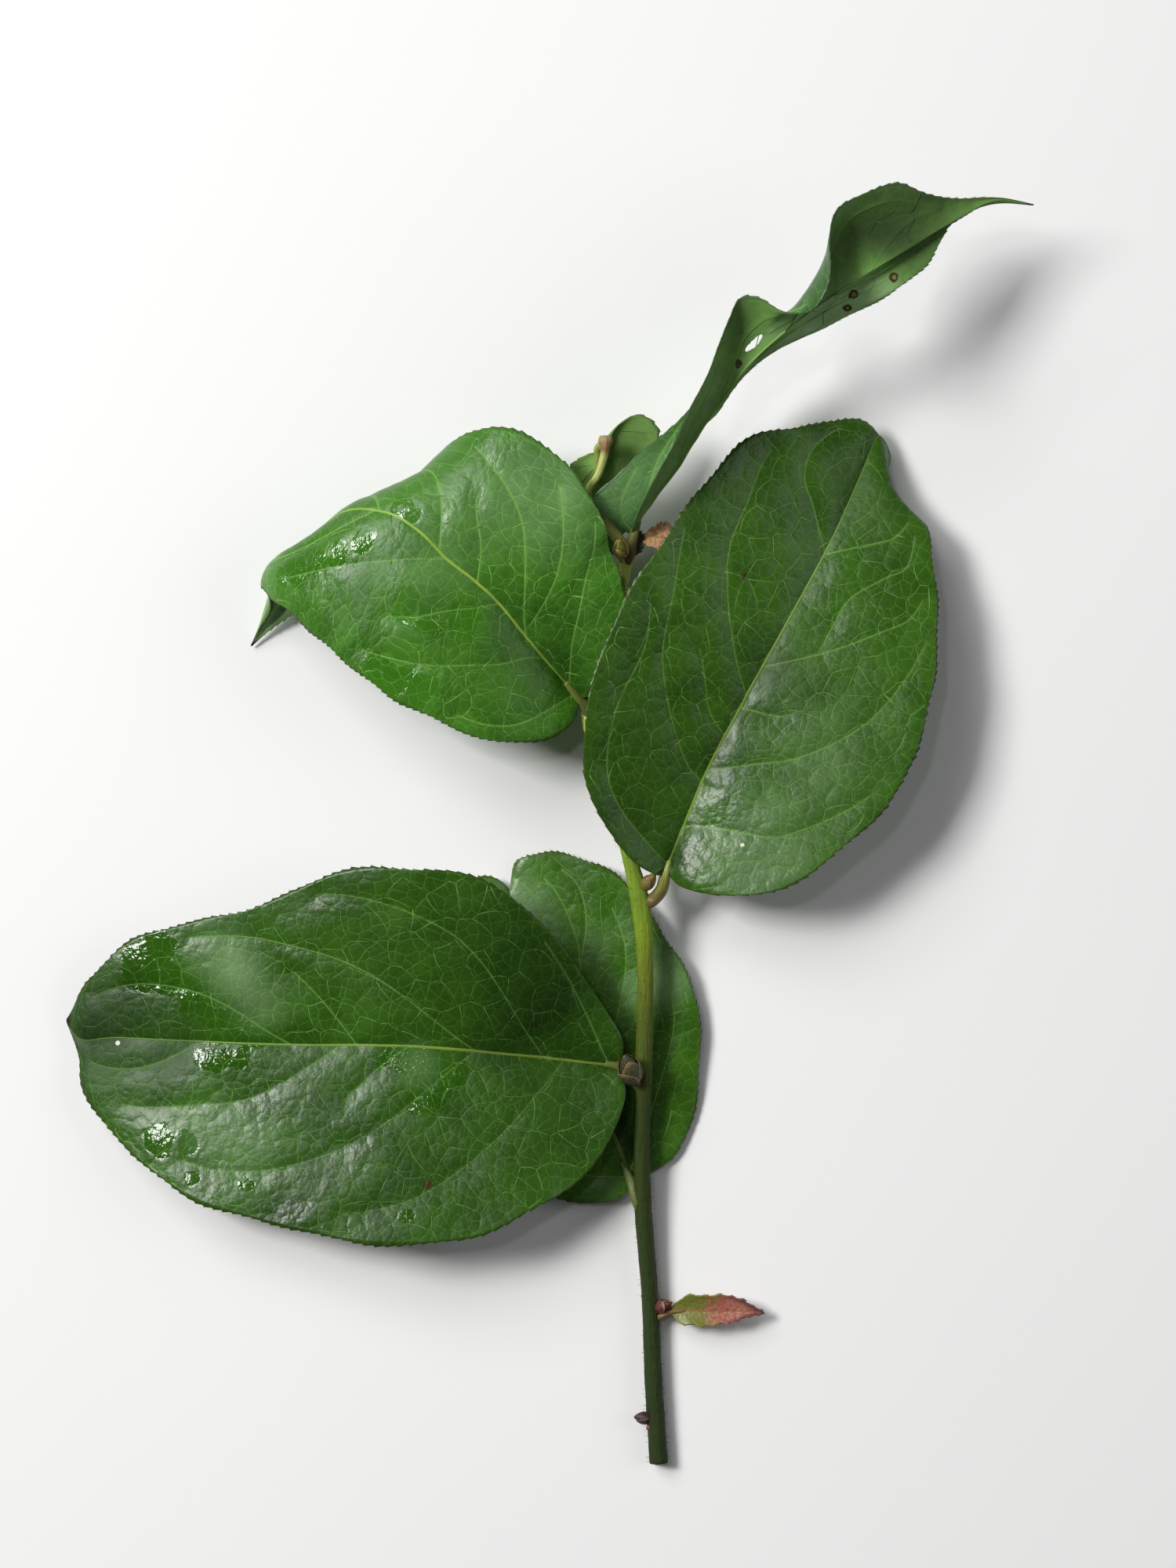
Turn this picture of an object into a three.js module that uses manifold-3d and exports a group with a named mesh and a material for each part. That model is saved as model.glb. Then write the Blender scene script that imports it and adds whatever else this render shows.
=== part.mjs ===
// Salal stem: a cut leafy stem lying flat. Six grown leaves stand alternately on a zigzag stem that ends in a
// swollen tip, with a young folded leaf, a bud in each visible leaf axil, and two dry scales at the top node.
// Millimetres, +Z up, +Y from the cut end toward the growing tip. The stem lies on z = 0.
import * as THREE from "three";
import Module from "manifold-3d";

const wasm = await Module();
wasm.setup();
const { Manifold, Mesh } = wasm;

const bladeThickness = 0.45;
const midribDepth = 0.55; // how far the midrib stands out below the blade
const gap = 0.3; // air between neighbouring parts
const fullBulgeWidth = 8; // a blade half this wide takes its whole bulge
const marginEase = 0.75; // the margin runs ahead of the midrib near the base lobes

// Centreline of the stem with its radius, thicker at each node: [x, y, z, radius].
const stemLine = [
  [21.5, -115.75, 1.75, 1.7], [20.5, -100.5, 2, 1.65], [19.75, -84.5, 2.5, 1.55],
  [18.5, -68.5, 3.75, 1.6], [18.25, -55.25, 5.25, 1.5], [18.5, -43.75, 6.5, 1.6],
  [18.75, -32.25, 7.5, 1.5], [18.75, -22, 8.5, 1.5], [18, -12.75, 9.25, 1.75], [15.5, -2, 9.75, 1.3],
  [11.75, 11.75, 10.25, 1.25], [8.5, 22, 10.75, 1.3], [10.75, 32.25, 11.5, 1.1], [14, 43, 12.5, 1],
  [15, 51.5, 14, 1.2], [11.5, 57, 15.5, 0.8], [8.25, 61.75, 17, 0.75], [10.25, 65.5, 18.5, 0.7],
  [11.25, 68.75, 19.5, 0.75], [11.5, 70.25, 20, 0.95],
  [11.5, 71.25, 20, 1.4], [11.5, 72.25, 20, 1.1],
];

// Each leaf is a smooth surface through three guides: its midrib, and its left and right margins from the
// petiole round the base lobe to the tip. The bulges arch each half toward the upper face, in millimetres.
const leafShapes = {
  leaf_lower_back: {
    colour: 0x3c6a2b,
    midrib: [
      [16.5, -63.5, 3.5], [13, -55, 3], [8.5, -45.5, 3], [3.5, -34, 3], [-1.5, -21.5, 3],
      [-5.5, -13, 2], [-6.5, -10.5, 1.5], [-6, -12.5, 0.5],
    ],
    left: [
      [16.5, -63.5, 3.5], [14.5, -66.5, 3], [8.5, -67.5, 3], [1.5, -66, 3], [-7.5, -60, 3.5],
      [-14.5, -49.5, 4], [-18, -36.5, 4], [-19, -25, 4], [-17, -13.5, 3.5], [-13, -8.5, 3],
      [-9.5, -7.5, 2.5], [-6.5, -9.5, 1.5], [-6, -12.5, 0.5],
    ],
    right: [
      [16.5, -63.5, 3.5], [18, -63, 2], [21, -61.5, 1], [25, -58, 1], [28, -50, 1], [29, -40.5, 2],
      [28.5, -31.5, 2.5], [25.5, -23.5, 3], [21, -16, 3], [15, -8.5, 3], [8.5, -4.5, 2.5], [2, -3, 2],
      [-3.5, -4, 1.5], [-5.5, -6.5, 1], [-6, -12.5, 0.5],
    ],
    leftBulge: [0.3, 0.4, 0.4, 0.3],
    rightBulge: [0, -0.1, -0.1, 0.1],
    petiole: [[18.5, -69.5, 3.75], [17.25, -66.75, 4], [16.25, -63.5, 3.5], [14.5, -60, 3]],
    petioleRadii: [1.1, 1, 0.9, 0.6],
  },
  leaf_lower_left: {
    colour: 0x42702e,
    midrib: [
      [14.5, -42, 8.5], [1.5, -40.5, 9.5], [-13, -39, 11], [-27, -38, 12], [-44.5, -38, 10.5],
      [-63, -37.5, 8.5], [-78, -37, 5.5], [-85, -37.5, 3], [-88, -34, 2],
    ],
    left: [
      [14.5, -42, 8.5], [15, -48, 9.5], [12, -55.5, 10.5], [6.5, -62.5, 12], [-1.5, -67.5, 15],
      [-13, -72.5, 16.5], [-30, -73.5, 16.5], [-45.5, -71, 14.5], [-64.5, -65.5, 11], [-78, -55.5, 6],
      [-84, -47, 4], [-85.5, -40.5, 3], [-88, -34, 2],
    ],
    right: [
      [14.5, -42, 8.5], [14.5, -37, 9.5], [11.5, -31.5, 11], [7, -24.5, 12.5], [0.5, -16.5, 15],
      [-10, -8, 17], [-24, -5.5, 17.5], [-37, -6.5, 15], [-50, -12, 12], [-63, -15.5, 10],
      [-75, -19, 7.5], [-83, -26, 5], [-86, -31, 3], [-88, -34, 2],
    ],
    leftBulge: [0.2, 0, 0, 0, 0.3, 0.5],
    rightBulge: [0.3, 0.5, 0.5, 0.5, 0.6, 0.5],
    petiole: [[18, -46, 6.5], [16.25, -44, 7.5], [14.5, -42.25, 8.5], [11.5, -41.5, 9]],
    petioleRadii: [1.2, 1.1, 0.9, 0.6],
  },
  leaf_right: {
    colour: 0x44722f,
    midrib: [
      [22.5, -6, 11.5], [29.5, 11, 13], [36, 23.5, 13.5], [44, 38, 13], [52.5, 53.5, 10.5],
      [58, 65.5, 7.5], [61.5, 73.5, 4.5], [64, 70.5, 2.5], [63.5, 67, 0.5],
    ],
    left: [
      [22.5, -6, 11.5], [21, -7, 12.5], [15.5, -3.5, 15], [10, 5, 17.5], [7.5, 13.5, 19.5],
      [8, 23.5, 21], [11, 33.5, 21.5], [15.5, 43.5, 21.5], [22.5, 54.5, 20], [30, 64.5, 17.5],
      [38.5, 73, 14.5], [47, 74.5, 11.5], [56, 76.5, 7], [60.5, 75, 5], [62.5, 72, 3], [63.5, 67, 0.5],
    ],
    right: [
      [22.5, -6, 11.5], [25.5, -9, 13], [34, -10.5, 16], [44, -9, 17.5], [55, -1.5, 18],
      [64.5, 9, 17], [70, 23, 16], [71.5, 35, 14.5], [71.5, 46.5, 12], [70, 56.5, 9],
      [66, 60, 6.5], [62.75, 64.5, 3.5], [63.5, 67, 0.5],
    ],
    leftBulge: [0.1, -0.2, -0.2, 0, 0.5, 0.8],
    rightBulge: [0.3, 0.5, 0.5, 0.6, 0.8, 0.8],
    petiole: [
      [18.25, -12.25, 9.25], [20.25, -11.5, 9.5], [21.75, -9.5, 10.5], [22.5, -6.75, 11.25], [23.25, -4.25, 11.25],
    ],
    petioleRadii: [1.4, 1.25, 1.15, 0.95, 0.5],
  },
  leaf_upper_left: {
    colour: 0x467431,
    midrib: [
      [7, 25, 12.5], [2, 30.5, 15], [-3.5, 37, 17.5], [-8, 42.5, 19.5], [-12.5, 46.5, 21],
      [-17, 50, 22], [-22, 55, 22], [-28, 58.5, 20.5], [-35.5, 59, 17], [-42, 54, 11.5],
      [-47.5, 45.5, 6], [-54, 35, 0.5],
    ],
    left: [
      [7, 25, 12.5], [5.5, 21, 13.5], [2, 18.5, 15], [-3, 17.5, 17], [-10, 17.5, 19], [-18.5, 21, 20],
      [-27, 25.5, 20], [-34, 30.5, 18.5], [-39.5, 35.5, 16.5], [-45, 40.5, 14.5], [-48.5, 43, 12.5],
      [-51, 45.5, 10], [-50, 42.5, 6], [-54, 35, 0.5],
    ],
    right: [
      [7, 25, 12.5], [10, 26, 13], [13, 31, 16], [15, 38, 18], [14.25, 46, 19], [12.25, 52, 20],
      [11.5, 56.5, 22], [8, 62, 23], [4.5, 67, 22.5], [-2.5, 72, 21.5], [-10, 73.5, 19.5],
      [-17, 71, 15], [-25, 61, 9], [-32.5, 51.5, 5], [-45.5, 42, 3], [-54, 35, 0.5],
    ],
    leftBulge: [0.4, 0.7, 1, 1, 1.5, 2, 3, 3, 1],
    rightBulge: [0.4, 0.7, 0.8, 0.8, 1.2, 2, 2.5, 2.5, 2, 1],
    petiole: [[8.75, 22, 11], [8, 23.75, 11.75], [6.75, 25, 12.5], [4.25, 28, 13.75]],
    petioleRadii: [1.1, 1.1, 0.9, 0.6],
  },
  leaf_top: {
    colour: 0x4a6b35,
    midrib: [
      [16, 54.5, 15.5], [19.5, 61, 18.5], [23, 65.5, 20.5], [26, 70, 22], [29, 74.5, 23.5],
      [35.5, 83, 25.5], [40.5, 88, 26.5], [46.5, 93, 27.5], [52.5, 97, 28], [63, 103.5, 27.5],
      [72.5, 109.5, 25.5], [81, 114, 23.5], [88.5, 113.5, 22],
    ],
    left: [
      [16, 54.5, 15.5], [14, 55.5, 16], [12, 58, 17.5], [9.5, 59.5, 19], [9.5, 61.5, 19.5],
      [13.5, 65, 20], [18, 69.5, 20], [24, 74.5, 18.5], [27.5, 78, 16.5], [29.5, 77.5, 14.5],
      [30, 75.5, 13.5], [32, 77, 14], [35, 81.5, 15.5], [38, 84.5, 17], [42, 87.5, 20],
      [47.5, 90, 22.5], [53.5, 92.5, 24.5], [62, 97, 26], [68.5, 102, 25.5], [72, 107.5, 24.5],
      [73.5, 110, 24.5], [80.5, 113.5, 23.5], [88.5, 113.5, 22],
    ],
    right: [
      [16, 54.5, 15.5], [17, 57, 20], [18.5, 60.5, 25], [21, 65, 29], [23.5, 69.5, 31.5], [26, 75, 33],
      [29.5, 81.5, 33], [31.5, 87, 32], [33.5, 92, 31], [35.5, 95.5, 30], [39, 95.5, 30.5],
      [43, 93, 33], [47, 92.5, 36], [49.5, 95, 37.5], [51, 99.5, 37], [51, 106, 34], [52.5, 111, 33],
      [57, 114, 31.5], [63, 116, 30], [68.5, 114.5, 28], [75, 114, 25], [81.5, 114.5, 23.5],
      [88.5, 113.5, 22],
    ],
    leftEase: 0.6,
    rightEase: 0.9,
    leftBulge: [0.5, 0.5, 0.5, 0.5, 0.5, 1, 1, 1, 0.5],
    rightBulge: [0.5, 0.5, 0.5, 0.5, 1.5, 3, 3, 1, 1, 0.5],
    petiole: [[15, 49.75, 13.75], [16, 51.5, 14.5], [16.25, 53.5, 15.25], [17.5, 57.25, 16.75]],
    petioleRadii: [1.1, 1.1, 1, 0.6],
  },
  leaf_terminal: {
    colour: 0x55713a,
    midrib: [
      [10.5, 68.5, 17], [9, 63.5, 14.5], [5.5, 56.5, 11.5], [1.5, 48.5, 8], [-3, 41, 4.5],
      [-7.5, 34, 1.5],
    ],
    left: [
      [10.5, 68.5, 17], [9.5, 69.5, 17], [7, 68.5, 16], [4.5, 66, 15], [1.5, 59.5, 12],
      [-1.5, 52.5, 9], [-4.5, 45.5, 6], [-6.5, 38.5, 3], [-7.5, 34, 1.5],
    ],
    right: [
      [10.5, 68.5, 17], [12, 71.5, 17], [14, 74.5, 17], [17.5, 76.5, 16.5], [20.5, 74.5, 15.5],
      [21, 71.5, 14.5], [18.5, 63.5, 12], [14, 54, 9], [7, 44, 5.5], [0, 37.5, 3], [-7.5, 34, 1.5],
    ],
    leftBulge: [1, 1, 1],
    rightBulge: [1, 1, 1],
    petiole: [[11.5, 71, 19.5], [10.25, 70.25, 18.25], [10.25, 68.75, 17], [9.75, 65.5, 15.75]],
    petioleRadii: [0.8, 0.8, 0.8, 0.5],
  },
};

const youngLeaf = {
  colour: 0xa8705a,
  midrib: [[23.5, -87.5, 3], [27, -87.5, 3.25], [31.5, -87.5, 3.5], [36.5, -87.5, 3.5], [41, -88, 3]],
  left: [[23.5, -87.5, 3], [24.5, -86, 3.5], [27, -84.5, 4.5], [31, -84.5, 4.5], [34.5, -84.5, 4.5],
    [38, -86, 4], [41, -88, 3]],
  right: [[23.5, -87.5, 3], [25, -89.5, 3.5], [27.5, -90, 4.5], [31, -90, 4.5], [34.5, -89.5, 4.5],
    [38, -88.5, 4], [41, -88, 3]],
  leftBulge: [-0.3, -0.3],
  rightBulge: [-0.3, -0.3],
  petiole: [[19.75, -89.25, 2.5], [21.75, -88.5, 2.75], [23.5, -87.75, 3], [26, -87.5, 3.2]],
  petioleRadii: [0.55, 0.55, 0.5, 0.3],
};

// Axillary buds: foot, tip and greatest width.
const buds = {
  bud_lowest: { colour: 0x4a2320, foot: [19.5, -107.5, 2.25], tip: [16.75, -107.25, 2.5], width: 2 },
  bud_young_leaf: { colour: 0x6b2f2a, foot: [21, -87.25, 2.75], tip: [24, -85.75, 4], width: 1.9 },
  bud_lower_left: { colour: 0x4a3020, foot: [16.75, -44, 9.5], tip: [14.75, -38.5, 13.5], width: 4.8 },
  bud_right: { colour: 0x8a5a2c, foot: [18.75, -9.25, 10.5], tip: [20.5, -6.5, 12.75], width: 2.2 },
  bud_upper_left: { colour: 0x6b4a26, foot: [8.25, 25, 10.5], tip: [7.25, 27.75, 11], width: 1.6 },
  bud_top: { colour: 0x8a7a34, foot: [14.5, 51.25, 15], tip: [14, 53.5, 20.5], width: 2.7 },
};

// Two dry scales at the top node, small curled blades of their own.
const dryScales = {
  withered_scale: {
    colour: 0x33241a,
    thickness: 0.35,
    midrib: [[17.75, 51, 14.5], [18.75, 53, 14.75], [19, 56, 15.25]],
    left: [[17.75, 51, 14.5], [18, 53, 15.5], [19, 56, 15.25]],
    right: [[17.75, 51, 14.5], [19.5, 53, 14.25], [19, 56, 15.25]],
    leftBulge: [0, 0],
    rightBulge: [0, 0],
  },
  dry_bract: {
    colour: 0xa87848,
    thickness: 0.3,
    midrib: [[20.25, 53.75, 14.5], [21, 54.25, 14.5], [24, 56.25, 15]],
    left: [[20.25, 53.75, 14.5], [20.75, 55.5, 15], [22, 55.5, 15.25], [24, 56.25, 15]],
    right: [[20.25, 53.75, 14.5], [20.5, 52.5, 14.75], [22.5, 53.5, 15], [24, 56.25, 15]],
    leftBulge: [0.2, 0.2],
    rightBulge: [0.2, 0.2],
  },
};

// Feeding hole chewed through the right half of the top leaf, beside its midrib.
const feedingHole = { centre: [37.75, 87.75, 26.5], length: 4, width: 1.1, turn: 60 };

function smoothCurve(points) {
  const curve = new THREE.CatmullRomCurve3(
    points.map((p) => new THREE.Vector3(p[0], p[1], p[2] ?? 0)), false, "catmullrom", 0.5);
  curve.arcLengthDivisions = 400;
  return curve;
}

function valueAlong(values, t) {
  return smoothCurve(values.map((v) => [v, 0, 0])).getPoint(t).x;
}

function solidFrom(positions, indices) {
  return new Manifold(new Mesh({
    numProp: 3,
    vertProperties: new Float32Array(positions),
    triVerts: new Uint32Array(indices),
  }));
}

// A round tube along a smooth line, with flat ends; each ring has the radius read at its place.
function tubeSolid(line, radii, rings, sides) {
  const curve = smoothCurve(line);
  const frames = curve.computeFrenetFrames(rings, false);
  const positions = [];
  const indices = [];
  for (let i = 0; i <= rings; i++) {
    const t = curve.getUtoTmapping(i / rings);
    const centre = curve.getPoint(t);
    const radius = valueAlong(radii, t);
    for (let j = 0; j < sides; j++) {
      const turn = (2 * Math.PI * j) / sides;
      const rim = centre.clone()
        .addScaledVector(frames.normals[i], radius * Math.cos(turn))
        .addScaledVector(frames.binormals[i], radius * Math.sin(turn));
      positions.push(...rim.toArray());
    }
  }
  for (let i = 0; i < rings; i++) {
    for (let j = 0; j < sides; j++) {
      const a = i * sides + j;
      const b = i * sides + ((j + 1) % sides);
      indices.push(a, b, b + sides, a, b + sides, a + sides);
    }
  }
  for (const [ring, end] of [[0, curve.getPoint(0)], [rings, curve.getPoint(1)]]) {
    const hub = positions.length / 3;
    positions.push(...end.toArray());
    for (let j = 0; j < sides; j++) {
      const a = ring * sides + j;
      const b = ring * sides + ((j + 1) % sides);
      indices.push(...(ring === 0 ? [hub, b, a] : [hub, a, b]));
    }
  }
  return solidFrom(positions, indices);
}

// One point of a blade: u runs from the petiole to the tip, v from the left margin (-1) to the right (1).
function bladePoint(shape, u, v) {
  const side = v < 0 ? "left" : "right";
  const across = Math.abs(v);
  const midrib = shape.curves.midrib.getPointAt(u);
  const forward = shape.curves.midrib.getTangentAt(u);
  const margin = shape.curves[side].getPointAt(u ** (shape[side + "Ease"] ?? marginEase));
  const chord = margin.sub(midrib);
  const outward = new THREE.Vector3().crossVectors(forward, chord).normalize();
  if (side === "right") {
    outward.negate();
  }
  const bulge = valueAlong(shape[side + "Bulge"], u) * Math.min(1, chord.length() / fullBulgeWidth);
  return midrib.addScaledVector(chord, across)
    .addScaledVector(outward, bulge * 4 * across * (1 - across));
}

// A blade as a closed thin solid: the surface offset both ways along its normals, thicker at the midrib.
function bladeSolid(shape, rows, columns) {
  shape.curves = {
    midrib: smoothCurve(shape.midrib),
    left: smoothCurve(shape.left),
    right: smoothCurve(shape.right),
  };
  const half = (shape.thickness ?? bladeThickness) / 2;
  const wide = 2 * columns + 1;
  const middle = [];
  for (let i = 0; i < rows; i++) {
    for (let j = 0; j < wide; j++) {
      const v = (j - columns) / columns;
      middle.push(bladePoint(shape, 0.01 + (0.98 * i) / (rows - 1), v));
    }
  }
  const faces = [];
  for (let i = 0; i < rows - 1; i++) {
    for (let j = 0; j < wide - 1; j++) {
      const a = i * wide + j;
      faces.push(a, a + 1, a + wide, a + 1, a + wide + 1, a + wide);
    }
  }
  const surface = new THREE.BufferGeometry();
  surface.setAttribute("position", new THREE.Float32BufferAttribute(middle.flatMap((p) => p.toArray()), 3));
  surface.setIndex(faces);
  surface.computeVertexNormals();
  const normals = surface.getAttribute("normal");
  const positions = [];
  for (const offset of [1, -1]) {
    middle.forEach((p, k) => {
      const onMidrib = k % wide === columns;
      const ridge = onMidrib && offset < 0 && !shape.thickness ? midribDepth * (1 - k / middle.length) : 0;
      const normal = new THREE.Vector3().fromBufferAttribute(normals, k);
      positions.push(...p.clone().addScaledVector(normal, offset * (half + ridge)).toArray());
    });
  }
  const under = middle.length;
  const indices = [...faces];
  for (let k = 0; k < faces.length; k += 3) {
    indices.push(faces[k] + under, faces[k + 2] + under, faces[k + 1] + under);
  }
  const rim = [];
  for (let j = 0; j < wide; j++) rim.push(j);
  for (let i = 1; i < rows; i++) rim.push(i * wide + wide - 1);
  for (let j = wide - 2; j >= 0; j--) rim.push((rows - 1) * wide + j);
  for (let i = rows - 2; i > 0; i--) rim.push(i * wide);
  rim.forEach((a, k) => {
    const b = rim[(k + 1) % rim.length];
    indices.push(a, a + under, b + under, a, b + under, b);
  });
  return solidFrom(positions, indices);
}

// A pointed ovoid bud, turned from a profile and laid from its foot to its tip.
function budSolid(bud) {
  const foot = new THREE.Vector3(...bud.foot);
  const axis = new THREE.Vector3(...bud.tip).sub(foot);
  const length = axis.length();
  const profile = [];
  const steps = 9;
  for (let i = 0; i <= steps; i++) {
    const t = i / steps;
    const swell = Math.sin(Math.PI * t ** 0.75) ** 0.8;
    profile.push(new THREE.Vector2((swell * bud.width) / 2, t * length));
  }
  profile[0].x = 0;
  profile[steps].x = 0;
  const turned = new THREE.LatheGeometry(profile, 12);
  const up = new THREE.Vector3(0, 1, 0);
  turned.applyQuaternion(new THREE.Quaternion().setFromUnitVectors(up, axis.normalize()));
  turned.translate(foot.x, foot.y, foot.z);
  return solidOf(turned);
}

// Joins the doubled points of a closed three.js geometry and hands it over as a solid.
function solidOf(geometry) {
  const places = geometry.getAttribute("position");
  const seen = new Map();
  const positions = [];
  const merged = [];
  for (let i = 0; i < places.count; i++) {
    const point = new THREE.Vector3().fromBufferAttribute(places, i);
    const key = point.toArray().map((c) => Math.round(c * 1e4)).join(" ");
    if (!seen.has(key)) {
      seen.set(key, positions.length / 3);
      positions.push(...point.toArray());
    }
    merged.push(seen.get(key));
  }
  const indices = [];
  const order = geometry.getIndex().array;
  for (let k = 0; k < order.length; k += 3) {
    const [a, b, c] = [merged[order[k]], merged[order[k + 1]], merged[order[k + 2]]];
    if (a !== b && b !== c && c !== a) indices.push(a, b, c);
  }
  return solidFrom(positions, indices);
}

// Cuts away whatever stands in the way and keeps the largest piece that is left.
function clearOf(solid, ...others) {
  const cut = others.reduce((left, other) => left.subtract(other), solid);
  return cut.decompose().sort((a, b) => b.volume() - a.volume())[0];
}

function leafSolid(shape, rows, columns) {
  const blade = bladeSolid(shape, rows, columns);
  return blade.add(tubeSolid(shape.petiole, shape.petioleRadii, 7, 8));
}

function toMesh(name, solid, colour, roughness) {
  const made = solid.getMesh();
  const geometry = new THREE.BufferGeometry();
  const places = [];
  for (let i = 0; i < made.numVert; i++) {
    places.push(...made.vertProperties.slice(i * made.numProp, i * made.numProp + 3));
  }
  geometry.setAttribute("position", new THREE.Float32BufferAttribute(places, 3));
  geometry.setIndex([...made.triVerts]);
  const mesh = new THREE.Mesh(geometry, new THREE.MeshStandardMaterial({
    color: colour,
    roughness,
    metalness: 0,
  }));
  mesh.name = name;
  return mesh;
}

const radii = stemLine.map((p) => p[3]);
const stem = tubeSolid(stemLine, radii, 64, 12);
const stemRoom = tubeSolid(stemLine, radii.map((r) => r + gap), 64, 12);

const part = new THREE.Group();
part.name = "salal_stem";
part.add(toMesh("main_stem", stem, 0x5d7030, 0.5));

const petioleRooms = [];
for (const [name, shape] of Object.entries({ ...leafShapes, young_leaf: youngLeaf })) {
  const young = name === "young_leaf";
  let leaf = leafSolid(shape, young ? 12 : 22, young ? 3 : 6);
  if (name === "leaf_top") {
    const hole = Manifold.sphere(0.5, 16)
      .scale([feedingHole.length, feedingHole.width, 8])
      .rotate([0, 0, feedingHole.turn])
      .translate(feedingHole.centre);
    leaf = leaf.subtract(hole);
  }
  leaf = clearOf(leaf, stemRoom);
  part.add(toMesh(name, leaf, shape.colour, 0.4));
  petioleRooms.push(tubeSolid(shape.petiole, shape.petioleRadii.map((r) => r + gap), 7, 8));
}

for (const [name, bud] of Object.entries(buds)) {
  const solid = clearOf(budSolid(bud), stemRoom, ...petioleRooms);
  part.add(toMesh(name, solid, bud.colour, 0.6));
}

for (const [name, scale] of Object.entries(dryScales)) {
  const solid = clearOf(bladeSolid(scale, 6, 2), stemRoom, ...petioleRooms);
  part.add(toMesh(name, solid, scale.colour, 0.8));
}

// The part's origin is the middle of its footprint, on the surface that it lies on.
const bounds = new THREE.Box3().setFromObject(part);
const middle = bounds.getCenter(new THREE.Vector3());
for (const mesh of part.children) {
  mesh.geometry.translate(-middle.x, -middle.y, -bounds.min.z);
}

export default part;
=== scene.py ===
import bpy
import numpy as np
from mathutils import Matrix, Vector, geometry


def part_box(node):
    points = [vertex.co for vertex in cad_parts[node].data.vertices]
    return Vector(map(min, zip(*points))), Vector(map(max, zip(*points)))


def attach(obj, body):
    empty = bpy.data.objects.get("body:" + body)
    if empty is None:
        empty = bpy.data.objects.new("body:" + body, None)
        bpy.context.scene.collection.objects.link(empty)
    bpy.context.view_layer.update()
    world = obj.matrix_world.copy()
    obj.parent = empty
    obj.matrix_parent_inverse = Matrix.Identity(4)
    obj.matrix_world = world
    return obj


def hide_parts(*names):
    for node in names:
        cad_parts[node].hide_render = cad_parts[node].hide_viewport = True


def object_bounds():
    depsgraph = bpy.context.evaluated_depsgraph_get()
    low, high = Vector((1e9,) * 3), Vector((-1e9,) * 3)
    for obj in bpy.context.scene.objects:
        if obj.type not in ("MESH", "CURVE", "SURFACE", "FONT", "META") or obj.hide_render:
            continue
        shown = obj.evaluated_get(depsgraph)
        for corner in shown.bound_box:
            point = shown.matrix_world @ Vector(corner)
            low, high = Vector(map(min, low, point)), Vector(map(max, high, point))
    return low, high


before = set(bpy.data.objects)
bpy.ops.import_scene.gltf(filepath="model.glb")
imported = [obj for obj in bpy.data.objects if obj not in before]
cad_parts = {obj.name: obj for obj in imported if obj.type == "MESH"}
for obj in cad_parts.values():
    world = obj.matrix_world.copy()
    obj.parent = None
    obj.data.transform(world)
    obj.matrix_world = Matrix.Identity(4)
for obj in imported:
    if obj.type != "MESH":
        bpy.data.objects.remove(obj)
cadBox = [list(corner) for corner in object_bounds()]

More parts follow.
